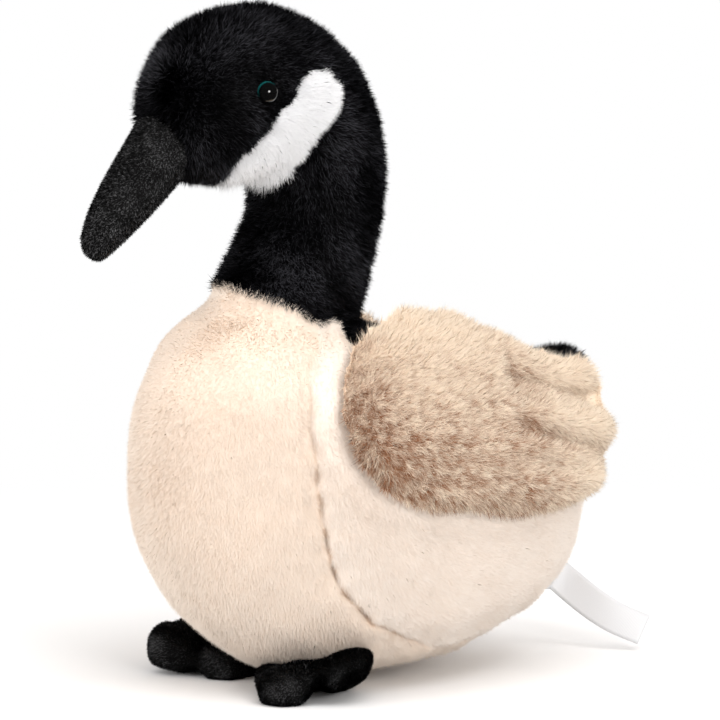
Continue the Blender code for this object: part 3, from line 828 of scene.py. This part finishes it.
def body_pile(mesh, before, apart, owner, seam, strength):
    """Set the pile of the body, from the places of its corners before and after the seams pulled in."""
    places, normals = arrays(mesh)
    forward, height = -before[:, 1], before[:, 2]
    collar = apart[:, NECK_PANELS].min(axis=1)
    hang = (owner >= CHEEK_PANEL) * (1 - ramp(height, 0.216, 0.228))
    cream = np.isin(owner, CREAM_PANELS)
    rise = bump(collar, 0.0055) * cream
    # The throat takes little light, so its pile is shorter, and its cream is painted paler there as painted
    # light against that shade
    shaded = ramp(height, 0.12, 0.14) * ramp(forward, -0.03, 0.0)
    length = mix(1.0, 0.7, bump(seam, 0.0025) * strength) * mix(1.0, 1.35, rise) * mix(1.0, 2.1, hang)
    length *= 1 - 0.4 * shaded * (1 - rise) * cream
    length *= np.where(owner == BACK_PANEL, 0.7, 1.0)
    length *= mix(0.4, 1.0, ramp(eye_clearance(places), 0.008, 0.014))
    # Thin pile where the wings and the floor hide it
    under_wing = distances(places, [f"wing_lining_{hand}" for hand in HANDS]).min(axis=1)
    density = mix(0.3, 1.0, ramp(under_wing, 0.004, 0.01) * ramp(height, 0.001, 0.008))
    lay = on_surface(body_lay(before, owner, collar, hang), normals)
    tone = body_tone(places, owner, seam, strength, height, shaded)
    set_pile(mesh, lay, tone, length, density)


def build_body():
    goose = bpy.context.scene.goose
    mesh = skin_of("body skin", BODY_PANELS + ["body_head_filling"], goose.voxel, 12)
    places, _ = arrays(mesh)
    _, _, seam = body_panels(places)
    refined(mesh, seam < SEAM_NEAR)
    before, _ = arrays(mesh)
    apart, owner, seam = body_panels(before)
    head = ramp(before[:, 2], 0.172, 0.2)
    strength = seam_strength(before, owner, head)
    pull_in_body(mesh, owner, seam, strength, head)
    body_pile(mesh, before, apart, owner, seam, strength)
    for node, part in patches(mesh, owner, BODY_PANELS).items():
        cloth, pile = BODY_CLOTHS[node]
        piece = grow_pile(f"{node}_pile", part, getattr(goose, pile), coat_material(cloth))
        hidden = [node, "body_head_filling"] if node == "breast_belly_panel" else [node]
        finish_piece(piece, hidden)
    bpy.data.meshes.remove(mesh)


def crease_pull(forward, height, start, end, width, fade=0.0, onset=0.18):
    """How near places lie to a crease line, fading in up to the onset and partly out at its end."""
    line = np.array(end) - np.array(start)
    length = np.linalg.norm(line)
    offset = np.column_stack([forward - start[0], height - start[1]])
    share = offset @ line / length**2
    across = np.abs(offset @ np.array((-line[1], line[0])) / length)
    return bump(across, width) * ramp(share, -0.02, onset) * (1 - fade * ramp(share, 0.7, 1.0))


# Start, end and pit of the crease above and below the middle finger, forward and up
FINGER_CREASES = (
    ((-0.026, 0.1185), (-0.104, 0.0905), (-0.04, 0.119)),
    ((-0.032, 0.1385), (-0.106, 0.1135), (-0.041, 0.1375)),
)
FINGER_CREASE_WIDTH = 0.0055
FINGER_CREASE_DEPTH = 0.0065
PIT_RADIUS = 0.0075
PIT_DEPTH = 0.003
# The right wing hangs lower than the left one
WING_DROP = {"left": 0.0, "right": 0.008}
WING_SWELL = 0.003
# Spacing of the corners on wings and tail, and on beak and feet
FINE_VOXEL = 0.0022
FINEST_VOXEL = 0.002


def finger_creases(forward, height):
    """How near places lie to the creases between fingers, and to the pits where those begin."""
    creases, pits = np.zeros(len(forward)), np.zeros(len(forward))
    for start, end, pit in FINGER_CREASES:
        crease = crease_pull(forward, height, start, end, FINGER_CREASE_WIDTH, 0.65)
        creases = np.maximum(creases, crease)
        pits = np.maximum(pits, bump(np.hypot(forward - pit[0], height - pit[1]), PIT_RADIUS))
    return creases, pits


def wing_pile(mesh, forward, height, outside, creases, pits):
    """Set the frosted pile: brown and flecked low in front, pale at the fingers, with painted shade in the
    creases and pits, upright on the rim.
    """
    places, normals = arrays(mesh)
    way = same_way(places, (0.0, 1.0, -0.28))
    way[:, 2] -= 0.5 * ramp(forward, 0.0, 0.05)
    upright = 1 - 0.75 * ramp(np.abs(normals[:, 1]), 0.55, 0.9)
    low = (1 - ramp(height, 0.1, 0.18)) * mix(0.25, 1.0, ramp(forward, -0.088, -0.03))
    tone = 1.3 - 0.76 * low + 0.08 * waves(places, 0.035, 12)
    tone += (0.04 + 0.08 * low) * waves(places, 0.008, 14)
    # Painted shade darkens the creases and the pits where they begin; the front rim is darker too
    tone -= 0.35 * creases + 0.2 * pits + 0.3 * ramp(forward, 0.02, 0.042)
    length = mix(0.3, 1.0, outside) * mix(1.0, 0.8, creases)
    lay = on_surface(way, normals) * upright[:, None]
    set_pile(mesh, lay, np.clip(tone, 0, 1.35), length, mix(0.25, 1.0, outside), 0.2 + low)


def build_wing(hand):
    goose = bpy.context.scene.goose
    sign = 1 if hand == "left" else -1
    nodes = [f"wing_top_{hand}", f"wing_lining_{hand}", f"wing_filling_{hand}"]
    mesh = skin_of(f"wing {hand}", nodes, FINE_VOXEL, 8)
    places, normals = arrays(mesh)
    to_lining = distances(places, nodes[1:2])[:, 0]
    outside = ramp(normals[:, 0] * sign, -0.8, -0.4)
    forward, height = -places[:, 1], places[:, 2] + WING_DROP[hand]
    creases, pits = finger_creases(forward, height)
    rim = 1 - ramp(to_lining, 0.002, 0.012)
    puff = 0.001 * waves(places, 0.035, 9)
    inward = 0.0012 + 0.0014 * rim
    inward += (FINGER_CREASE_DEPTH * creases + PIT_DEPTH * pits - puff) * outside
    place_vertices(mesh, places - normals * inward[:, None])
    inflate(mesh, np.maximum(np.maximum(creases, pits) * outside, 1 - outside), WING_SWELL)
    wing_pile(mesh, forward, height, outside, creases, pits)
    piece = grow_pile(f"wing_{hand}_pile", mesh, goose.frosted, coat_material("frosted pile"))
    finish_piece(piece, nodes)


def build_tail():
    goose = bpy.context.scene.goose
    nodes = ["tail_top", "tail_underside", "tail_filling"]
    mesh = skin_of("tail", nodes, FINE_VOXEL, 6)
    places, normals = arrays(mesh)
    owner = distances(places, nodes[:2]).argmin(axis=1)
    place_vertices(mesh, places - normals * 0.001)
    places, normals = arrays(mesh)
    lay = on_surface(same_way(places, (0.0, 1.0, 0.1)), normals)
    set_pile(mesh, lay, np.clip(0.5 + 0.3 * waves(places, 0.02, 15), 0, 1))
    cloths = {
        "tail_top": ("black pile", goose.medium, ["tail_filling"]),
        "tail_underside": ("pale cream pile", goose.short, []),
    }
    for node, part in patches(mesh, owner, nodes[:2]).items():
        cloth, pile, inner = cloths[node]
        piece = grow_pile(f"{node}_pile", part, pile, coat_material(cloth))
        finish_piece(piece, [node, *inner])


def build_beak():
    goose = bpy.context.scene.goose
    nodes = ["beak_upper", "beak_lower", "beak_filling"]
    mesh = skin_of("beak", nodes, FINEST_VOXEL, 8)
    places, normals = arrays(mesh)
    apart = distances(places, nodes[:2])
    seam = np.sort(apart, axis=1)[:, 1]
    place_vertices(mesh, places - normals * (0.0008 + 0.0012 * bump(seam, 0.0022))[:, None])
    places, normals = arrays(mesh)
    lay = on_surface(same_way(places, (0.0, -0.72, -0.7)), normals)
    set_pile(mesh, lay, np.clip(0.5 + 0.1 * waves(places, 0.012, 17), 0, 1))
    piece = grow_pile("beak_velour", mesh, goose.velour, coat_material("beak velour"))
    finish_piece(piece, nodes)


# Forward and outward place of a foot's middle
FOOT_AT = (0.046, 0.037)
# Directions of the creases between toes, outward from straight ahead, and their reach
TOE_CREASES = (-27, 56)
CREASE_FROM, CREASE_TO, ARCH_FROM = 0.009, 0.026, -0.018
TOE_CREASE_WIDTH = 0.0028
TOE_CREASE_DEPTH = 0.0035
ARCH_WIDTH = 0.0042
ARCH_LIFT = {"left": 0.009, "right": 0.004}
# Inward and forward place that the velour lies away from
ANKLE_AT = (-0.02, 0.02)


def toe_creases(forward, side):
    """How near places lie to the creases on top of the foot, and to the arches under it."""
    creases, arches = np.zeros(len(forward)), np.zeros(len(forward))
    for angle in TOE_CREASES:
        turn = math.radians(angle)
        start, end, inner = (
            (FOOT_AT[0] + reach * math.cos(turn), FOOT_AT[1] + reach * math.sin(turn))
            for reach in (CREASE_FROM, CREASE_TO, ARCH_FROM)
        )
        creases = np.maximum(creases, crease_pull(forward, side, start, end, TOE_CREASE_WIDTH))
        arches = np.maximum(arches, crease_pull(forward, side, inner, end, ARCH_WIDTH, onset=1.0))
    return creases, arches


def toe_curl(hand, forward, side, height, low):
    """Lift of the left foot's outer toe, or of the right foot's front."""
    forth = forward - FOOT_AT[0]
    outward = side - 0.5 * forth
    outer = ramp(outward, 0.038, 0.064)
    if hand == "left":
        return 0.009 * outer + 0.005 * ramp(outward, 0.054, 0.066) * low
    ahead = ramp(forth * 0.82 + (side - FOOT_AT[1]) * 0.57, 0.006, 0.03)
    return (0.0035 + 0.35 * height) * np.maximum(ahead, 0.6 * outer)


def build_foot(hand):
    goose = bpy.context.scene.goose
    sign = 1 if hand == "left" else -1
    nodes = [f"foot_top_{hand}", f"foot_sole_{hand}", f"foot_filling_{hand}"]
    mesh = skin_of(f"foot {hand}", nodes, FINEST_VOXEL, 8)
    places, normals = arrays(mesh)
    forward, side, height = -places[:, 1], places[:, 0] * sign, places[:, 2]
    creases, arches = toe_creases(forward, side)
    inward = 0.0006 * ramp(height, 0.0, 0.004) + TOE_CREASE_DEPTH * creases * ramp(height, 0.002, 0.008)
    moved = places - normals * inward[:, None]
    low = 1 - np.clip(height / 0.016, 0, 1)
    moved[:, 2] += toe_curl(hand, forward, side, height, low) + ARCH_LIFT[hand] * arches * low
    moved[:, 2] -= 0.002 * ramp(height, 0.006, 0.018)
    place_vertices(mesh, moved)
    # The velour lies outward from the ankle and a little down
    places, normals = arrays(mesh)
    way = places - np.array((-ANKLE_AT[0] * sign, -ANKLE_AT[1], 0.0))
    way[:, 2] = -0.008
    # Painted shade darkens the creases between the toes
    tone = 0.5 + 0.3 * waves(places, 0.014, 19) - 0.4 * creases
    set_pile(mesh, on_surface(way, normals), np.clip(tone, 0, 1))
    piece = grow_pile(f"foot_{hand}_velour", mesh, goose.velour, coat_material("foot velour"))
    finish_piece(piece, nodes)


EYE_LOOKS = Vector((0.93, -0.34, 0.14)).normalized()
EYE_BROW = Vector((0, -0.6, 1))
EYE_SHIFT = Vector((-0.2, -2.0, 0.8)) * MM
EYE_ROUND = 40
EYE_TOP = 11.9
# Height and radius of the shank, the washer's seat and the foot of the dome, in millimetres
EYE_STEM = [(0, 0.2), (0, 1.8), (0.4, 2.0), (6.9, 2.0), (7.0, 4.4), (7.2, 4.72)]
DOME_FOOT, DOME_RISE, DOME_RADIUS = 7.75, 4.15, 4.75
# How far up the map the painted teal reflection begins, is brightest and ends
PAINTED_REFLECTION_BANDS = ((0.4, 0.0), (0.47, 1.0), (0.53, 0.9), (0.62, 0.0))


def eye_material():
    made, shader = principled("glossy eye", 0.03, coat=0.5)
    tree = made.node_tree
    place = own_map(tree)
    bands = add(tree, "ShaderNodeValToRGB", {0: place["Y"]})
    stops = bands.color_ramp.elements
    stops[0].position, stops[0].color = 0.0, (0, 0, 0, 1)
    stops[1].position, stops[1].color = 1.0, (0, 0, 0, 1)
    for position, level in PAINTED_REFLECTION_BANDS:
        stops.new(position).color = (level, level, level, 1)
    # The painted teal reflection is a crescent toward the brow
    turn = add(tree, "ShaderNodeMath", {0: place["X"], 1: 2 * math.pi}, operation="MULTIPLY").outputs[0]
    toward = add(tree, "ShaderNodeMath", {0: turn}, operation="COSINE").outputs[0]
    inputs = {0: bands.outputs[0], 1: toward}
    painted_reflection = add(tree, "ShaderNodeMath", inputs, operation="MULTIPLY", use_clamp=True).outputs[0]
    tint = colour_mix(tree, painted_reflection, (0.0015, 0.0015, 0.0015, 1), (0.01, 0.12, 0.12, 1))
    tree.links.new(tint, shader.inputs["Base Color"])
    return made


def eye_seat(hand):
    """The place and turn of an eye: its shank's end, with the first axis toward the brow."""
    sign = 1 if hand == "left" else -1
    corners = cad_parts[f"eye_{hand}"].data.vertices
    looks = Vector((EYE_LOOKS.x * sign, EYE_LOOKS.y, EYE_LOOKS.z))
    back = min(corners, key=lambda corner: corner.co.dot(looks)).co
    shift = Vector((EYE_SHIFT.x * sign, EYE_SHIFT.y, EYE_SHIFT.z))
    brow = (EYE_BROW - looks * EYE_BROW.dot(looks)).normalized()
    axes = Matrix((brow, looks.cross(brow), looks)).transposed()
    return Matrix.Translation(back + shift) @ axes.to_4x4()


def build_eye(hand):
    """A turned dome on its shank, with its map running from the back to the crown of the dome."""
    seat = eye_seat(hand)
    profile = list(EYE_STEM)
    for angle in range(0, 90, 9):
        turn = math.radians(angle)
        profile.append((DOME_FOOT + DOME_RISE * math.sin(turn), DOME_RADIUS * math.cos(turn)))
    work = bmesh.new()
    layer = work.loops.layers.uv.new(UV)
    rings = []
    for height, radius in profile:
        ring = []
        for i in range(EYE_ROUND):
            turn = 2 * math.pi * i / EYE_ROUND
            place = Vector((radius * math.cos(turn), radius * math.sin(turn), height))
            ring.append(work.verts.new(seat @ (place * MM)))
        rings.append(ring)
    ends = [work.verts.new(seat @ (Vector((0, 0, height)) * MM)) for height in (0, EYE_TOP)]
    for row in range(len(rings)):
        low, high = row / len(rings), (row + 1) / len(rings)
        for i in range(EYE_ROUND):
            j = (i + 1) % EYE_ROUND
            if row < len(rings) - 1:
                corners = (rings[row][i], rings[row][j], rings[row + 1][j], rings[row + 1][i])
                marks = ((i, low), (i + 1, low), (i + 1, high), (i, high))
            else:
                corners = (rings[row][i], rings[row][j], ends[1])
                marks = ((i, low), (i + 1, low), (i + 0.5, high))
            face = work.faces.new(corners)
            face.smooth = True
            for loop, (across, upward) in zip(face.loops, marks):
                loop[layer].uv = (across / EYE_ROUND, upward)
    for i in range(EYE_ROUND):
        face = work.faces.new((ends[0], rings[0][(i + 1) % EYE_ROUND], rings[0][i]))
        for loop, mark in zip(face.loops, (i + 0.5, i + 1, i)):
            loop[layer].uv = (mark / EYE_ROUND, 0.0 if loop.vert == ends[0] else 0.01)
    mesh = bpy.data.meshes.new(f"eye_{hand}_dome")
    work.to_mesh(mesh)
    work.free()
    piece = new_object(f"eye_{hand}_dome", mesh)
    piece.data.materials.append(bpy.data.materials.get("glossy eye") or eye_material())
    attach(piece, "root")
    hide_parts(f"eye_{hand}")


# Forward, left and up along the middle of the ribbon, in millimetres
RIBBON_LINE = [
    (-90, 0, 31),
    (-97, 0, 32),
    (-104, 0, 31.5),
    (-107, 0.6, 30.5),
    (-110, 4, 27),
    (-113, 10, 22.5),
    (-117, 17, 17.5),
    (-122, 24, 13),
    (-130, 33, 8.5),
]
RIBBON_WIDTH = 14 * MM
RIBBON_THICK = 0.5 * MM
RIBBON_UP = Vector((0, 0.5, 0.86))
RIBBON_CUP = 0.9 * MM
RIBBON_STEPS = 6
RIBBON_STRIPS = 8


def curve_points(points, steps):
    """A smooth line through the points."""
    found = []
    padded_line = [points[0], *points, points[-1]]
    for a, b, c, d in zip(padded_line, padded_line[1:], padded_line[2:], padded_line[3:]):
        for k in range(steps):
            t = k / steps
            curve = (2 * a - 5 * b + 4 * c - d) * t * t + (3 * b - a - 3 * c + d) * t**3
            found.append(0.5 * (2 * b + (c - a) * t + curve))
    return found + [points[-1]]


def satin_material():
    made, shader = principled("white satin", 0.38, sheen=0.2)
    tree = made.node_tree
    where = add(tree, "ShaderNodeUVMap", uv_map=UV)
    inputs = {"Vector": where.outputs[0], "Scale": 60.0, "Distortion": 0.6}
    weave = add(tree, "ShaderNodeTexWave", inputs, wave_type="BANDS", bands_direction="Y")
    tint = colour_mix(tree, weave.outputs["Fac"], (0.76, 0.77, 0.79, 1), (0.85, 0.855, 0.87, 1))
    tree.links.new(tint, shader.inputs["Base Color"])
    return made


def build_ribbon():
    line = curve_points([Vector((s * MM, -f * MM, h * MM)) for f, s, h in RIBBON_LINE], RIBBON_STEPS)
    work = bmesh.new()
    layer = work.loops.layers.uv.new(UV)
    rows = []
    for i, here in enumerate(line):
        ahead = (line[min(i + 1, len(line) - 1)] - line[max(i - 1, 0)]).normalized()
        across = (RIBBON_UP - ahead * RIBBON_UP.dot(ahead)).normalized()
        face = ahead.cross(across).normalized()
        way = i / (len(line) - 1)
        row = []
        for k in range(RIBBON_STRIPS + 1):
            share = k / RIBBON_STRIPS - 0.5
            cup = RIBBON_CUP * way * math.sin(way * 9 + share * 2.2)
            row.append(work.verts.new(here + across * share * RIBBON_WIDTH + face * cup))
        rows.append(row)
    for i in range(len(rows) - 1):
        for k in range(RIBBON_STRIPS):
            face = work.faces.new((rows[i][k], rows[i][k + 1], rows[i + 1][k + 1], rows[i + 1][k]))
            face.smooth = True
            marks = ((k, i), (k + 1, i), (k + 1, i + 1), (k, i + 1))
            for loop, (a, b) in zip(face.loops, marks):
                loop[layer].uv = (a / RIBBON_STRIPS * 0.35, b / (len(rows) - 1))
    mesh = bpy.data.meshes.new("care_ribbon_satin")
    work.to_mesh(mesh)
    work.free()
    piece = new_object("care_ribbon_satin", mesh)
    piece.data.materials.append(satin_material())
    wall = piece.modifiers.new("thickness", "SOLIDIFY")
    wall.thickness = RIBBON_THICK
    wall.offset = 0
    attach(piece, "root")
    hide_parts("care_ribbon")


def finish_washers():
    """The lock washers keep their CAD form with a plain moulded look."""
    made, shader = principled("washer plastic", 0.45)
    tree = made.node_tree
    where = add(tree, "ShaderNodeTexCoord")
    noise = add(tree, "ShaderNodeTexNoise", {"Vector": where.outputs["Object"], "Scale": 300.0})
    tint = colour_mix(tree, noise.outputs["Fac"], (0.8, 0.8, 0.78, 1), (0.88, 0.88, 0.86, 1))
    tree.links.new(tint, shader.inputs["Base Color"])
    for hand in HANDS:
        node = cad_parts[f"eye_washer_{hand}"]
        node.data.materials.clear()
        node.data.materials.append(made)


# Stage


FLOOR_SIZE = 12
FLOOR_AT = -0.0004
# Distance over which the floor turns from matt to plain white
FADE_START, FADE_END = 0.22, 0.5
# What the lamps and the camera point at
LIT_AT = Vector((0, 0, 0.13))
SEEN_AT = Vector((0, 0, 0.1356))
SEEN_ASIDE = 0.0013
SENSOR = 36
# Name, place, width, power and colour of each lamp
LAMPS = (
    ("key", (-0.14, -1.8, 0.5), 0.8, 10.0, (1.0, 0.99, 0.98)),
    ("top", (0.8, 0.0, 1.6), 1.3, 10.0, (1.0, 1.0, 1.0)),
    ("side", (1.8, -0.3, 0.7), 0.6, 10.0, (1.0, 0.985, 0.97)),
)


def floor_material():
    """Matt floor that keeps the shadow, plain white to the camera further out and dark in reflections."""
    made = bpy.data.materials.new("pale floor")
    made.use_nodes = True
    tree = made.node_tree
    tree.nodes.clear()
    path = add(tree, "ShaderNodeLightPath").outputs
    tint = colour_mix(tree, path["Is Camera Ray"], (0.82, 0.82, 0.82, 1), (1.0, 1.0, 1.0, 1))
    tint = colour_mix(tree, path["Is Glossy Ray"], tint, (0.03, 0.03, 0.03, 1))
    matt = add(tree, "ShaderNodeBsdfDiffuse", {"Color": tint})
    white = add(tree, "ShaderNodeEmission")
    where = add(tree, "ShaderNodeTexCoord")
    reach = add(tree, "ShaderNodeVectorMath", {0: where.outputs["Object"]}, operation="LENGTH")
    inputs = {"Value": reach.outputs["Value"], "From Min": FADE_START, "From Max": FADE_END}
    fade = add(tree, "ShaderNodeMapRange", inputs, interpolation_type="SMOOTHSTEP")
    inputs = {0: fade.outputs[0], 1: path["Is Camera Ray"]}
    seen = add(tree, "ShaderNodeMath", inputs, operation="MULTIPLY")
    both = add(tree, "ShaderNodeMixShader", {0: seen.outputs[0], 1: matt.outputs[0], 2: white.outputs[0]})
    add(tree, "ShaderNodeOutputMaterial", {0: both.outputs[0]})
    return made


def build_floor():
    bpy.ops.mesh.primitive_plane_add(size=FLOOR_SIZE, location=(0, 0, FLOOR_AT))
    floor = bpy.context.object
    floor.name = "floor"
    floor.data.materials.append(floor_material())


def build_world():
    """Even light from all round, dim in reflections, that the camera sees as plain white."""
    world = bpy.data.worlds.new("studio")
    bpy.context.scene.world = world
    world.use_nodes = True
    tree = world.node_tree
    tree.nodes.clear()
    path = add(tree, "ShaderNodeLightPath").outputs
    light = add(tree, "ShaderNodeBackground", {"Color": (1.0, 0.975, 0.96, 1), "Strength": 0.9})
    dim = add(tree, "ShaderNodeBackground", {"Strength": 0.06})
    white = add(tree, "ShaderNodeBackground", {"Color": (1, 1, 1, 1)})
    inputs = {0: path["Is Glossy Ray"], 1: light.outputs[0], 2: dim.outputs[0]}
    unseen = add(tree, "ShaderNodeMixShader", inputs)
    inputs = {0: path["Is Camera Ray"], 1: unseen.outputs[0], 2: white.outputs[0]}
    add(tree, "ShaderNodeOutputWorld", {0: add(tree, "ShaderNodeMixShader", inputs).outputs[0]})


def build_lamps():
    for name, place, size, power, tint in LAMPS:
        lamp = bpy.data.lights.new(name, "AREA")
        lamp.shape = "DISK"
        lamp.size = size
        lamp.energy = power
        lamp.color = tint
        holder = bpy.data.objects.new(name, lamp)
        bpy.context.scene.collection.objects.link(holder)
        # Only the side lamp glints in the eyes
        holder.visible_glossy = name == "side"
        holder.location = place
        holder.rotation_euler = (LIT_AT - Vector(place)).to_track_quat("-Z", "Y").to_euler()


def build_camera():
    goose = bpy.context.scene.goose
    lens = bpy.data.cameras.new("camera")
    lens.sensor_width = SENSOR
    lens.lens = SENSOR * goose.distance / goose.frame_width
    lens.clip_start = 0.05
    lens.clip_end = 60
    camera = bpy.data.objects.new("camera", lens)
    bpy.context.scene.collection.objects.link(camera)
    turn, rise = math.radians(goose.azimuth), math.radians(goose.elevation)
    away = Vector((math.sin(turn) * math.cos(rise), -math.cos(turn) * math.cos(rise), math.sin(rise)))
    across = Vector((math.cos(turn), math.sin(turn), 0))
    camera.location = SEEN_AT + across * SEEN_ASIDE + away * goose.distance
    camera.rotation_euler = (-away).to_track_quat("-Z", "Y").to_euler()
    bpy.context.scene.camera = camera
    bpy.context.scene.view_settings.view_transform = "Standard"


# Operators and panel


class GOOSE_OT_body(bpy.types.Operator):
    """Cover the body, neck and head with pile"""

    bl_idname = "goose.body"
    bl_label = "Body, neck and head"

    def execute(self, context):
        build_body()
        return {"FINISHED"}


class GOOSE_OT_wings(bpy.types.Operator):
    """Cover both wings with long frosted pile"""

    bl_idname = "goose.wings"
    bl_label = "Wings"

    def execute(self, context):
        for hand in HANDS:
            build_wing(hand)
        return {"FINISHED"}


class GOOSE_OT_tail(bpy.types.Operator):
    """Cover the tail with pile"""

    bl_idname = "goose.tail"
    bl_label = "Tail"

    def execute(self, context):
        build_tail()
        return {"FINISHED"}


class GOOSE_OT_beak(bpy.types.Operator):
    """Cover the beak with velour"""

    bl_idname = "goose.beak"
    bl_label = "Beak"

    def execute(self, context):
        build_beak()
        return {"FINISHED"}


class GOOSE_OT_feet(bpy.types.Operator):
    """Cover both feet with velour"""

    bl_idname = "goose.feet"
    bl_label = "Feet"

    def execute(self, context):
        for hand in HANDS:
            build_foot(hand)
        return {"FINISHED"}


class GOOSE_OT_eyes(bpy.types.Operator):
    """Set the glossy eyes and finish their washers"""

    bl_idname = "goose.eyes"
    bl_label = "Eyes"

    def execute(self, context):
        for hand in HANDS:
            build_eye(hand)
        finish_washers()
        return {"FINISHED"}


class GOOSE_OT_ribbon(bpy.types.Operator):
    """Make the bare satin care ribbon"""

    bl_idname = "goose.ribbon"
    bl_label = "Care ribbon"

    def execute(self, context):
        build_ribbon()
        return {"FINISHED"}


class GOOSE_OT_stage(bpy.types.Operator):
    """Set the floor, lights and camera"""

    bl_idname = "goose.stage"
    bl_label = "Stage"

    def execute(self, context):
        build_floor()
        build_world()
        build_lamps()
        build_camera()
        return {"FINISHED"}


class GOOSE_PT_panel(bpy.types.Panel):
    """Goose tools in the sidebar"""

    bl_label = "Plush Goose"
    bl_idname = "GOOSE_PT_panel"
    bl_space_type = "VIEW_3D"
    bl_region_type = "UI"
    bl_category = "Plush Goose"

    def draw(self, context):
        goose = context.scene.goose
        for name in ("seed", "voxel", "seam_depth", "seam_width"):
            self.layout.prop(goose, name)
        for kind, table in ((PileSettings, PILES), (CoatSettings, COATS)):
            for group in table:
                box = self.layout.box()
                box.label(text=group.replace("_", " ").capitalize())
                for name in kind.__annotations__:
                    box.prop(getattr(goose, group), name)
        for operator in OPERATORS:
            self.layout.operator(operator.bl_idname)


OPERATORS = (
    GOOSE_OT_body,
    GOOSE_OT_wings,
    GOOSE_OT_tail,
    GOOSE_OT_beak,
    GOOSE_OT_feet,
    GOOSE_OT_eyes,
    GOOSE_OT_ribbon,
    GOOSE_OT_stage,
)
CLASSES = (PileSettings, CoatSettings, GooseSettings, *OPERATORS, GOOSE_PT_panel)


def register():
    for item in CLASSES:
        bpy.utils.register_class(item)
    bpy.types.Scene.goose = PointerProperty(type=GooseSettings)


def unregister():
    del bpy.types.Scene.goose
    for item in reversed(CLASSES):
        bpy.utils.unregister_class(item)


def main():
    register()
    goose = bpy.context.scene.goose
    for name, values in (*PILES.items(), *COATS.items()):
        for key, value in values.items():
            setattr(getattr(goose, name), key, value)
    for operator in OPERATORS:
        group, action = operator.bl_idname.split(".")
        getattr(getattr(bpy.ops, group), action)()


if __name__ == "__main__":
    main()
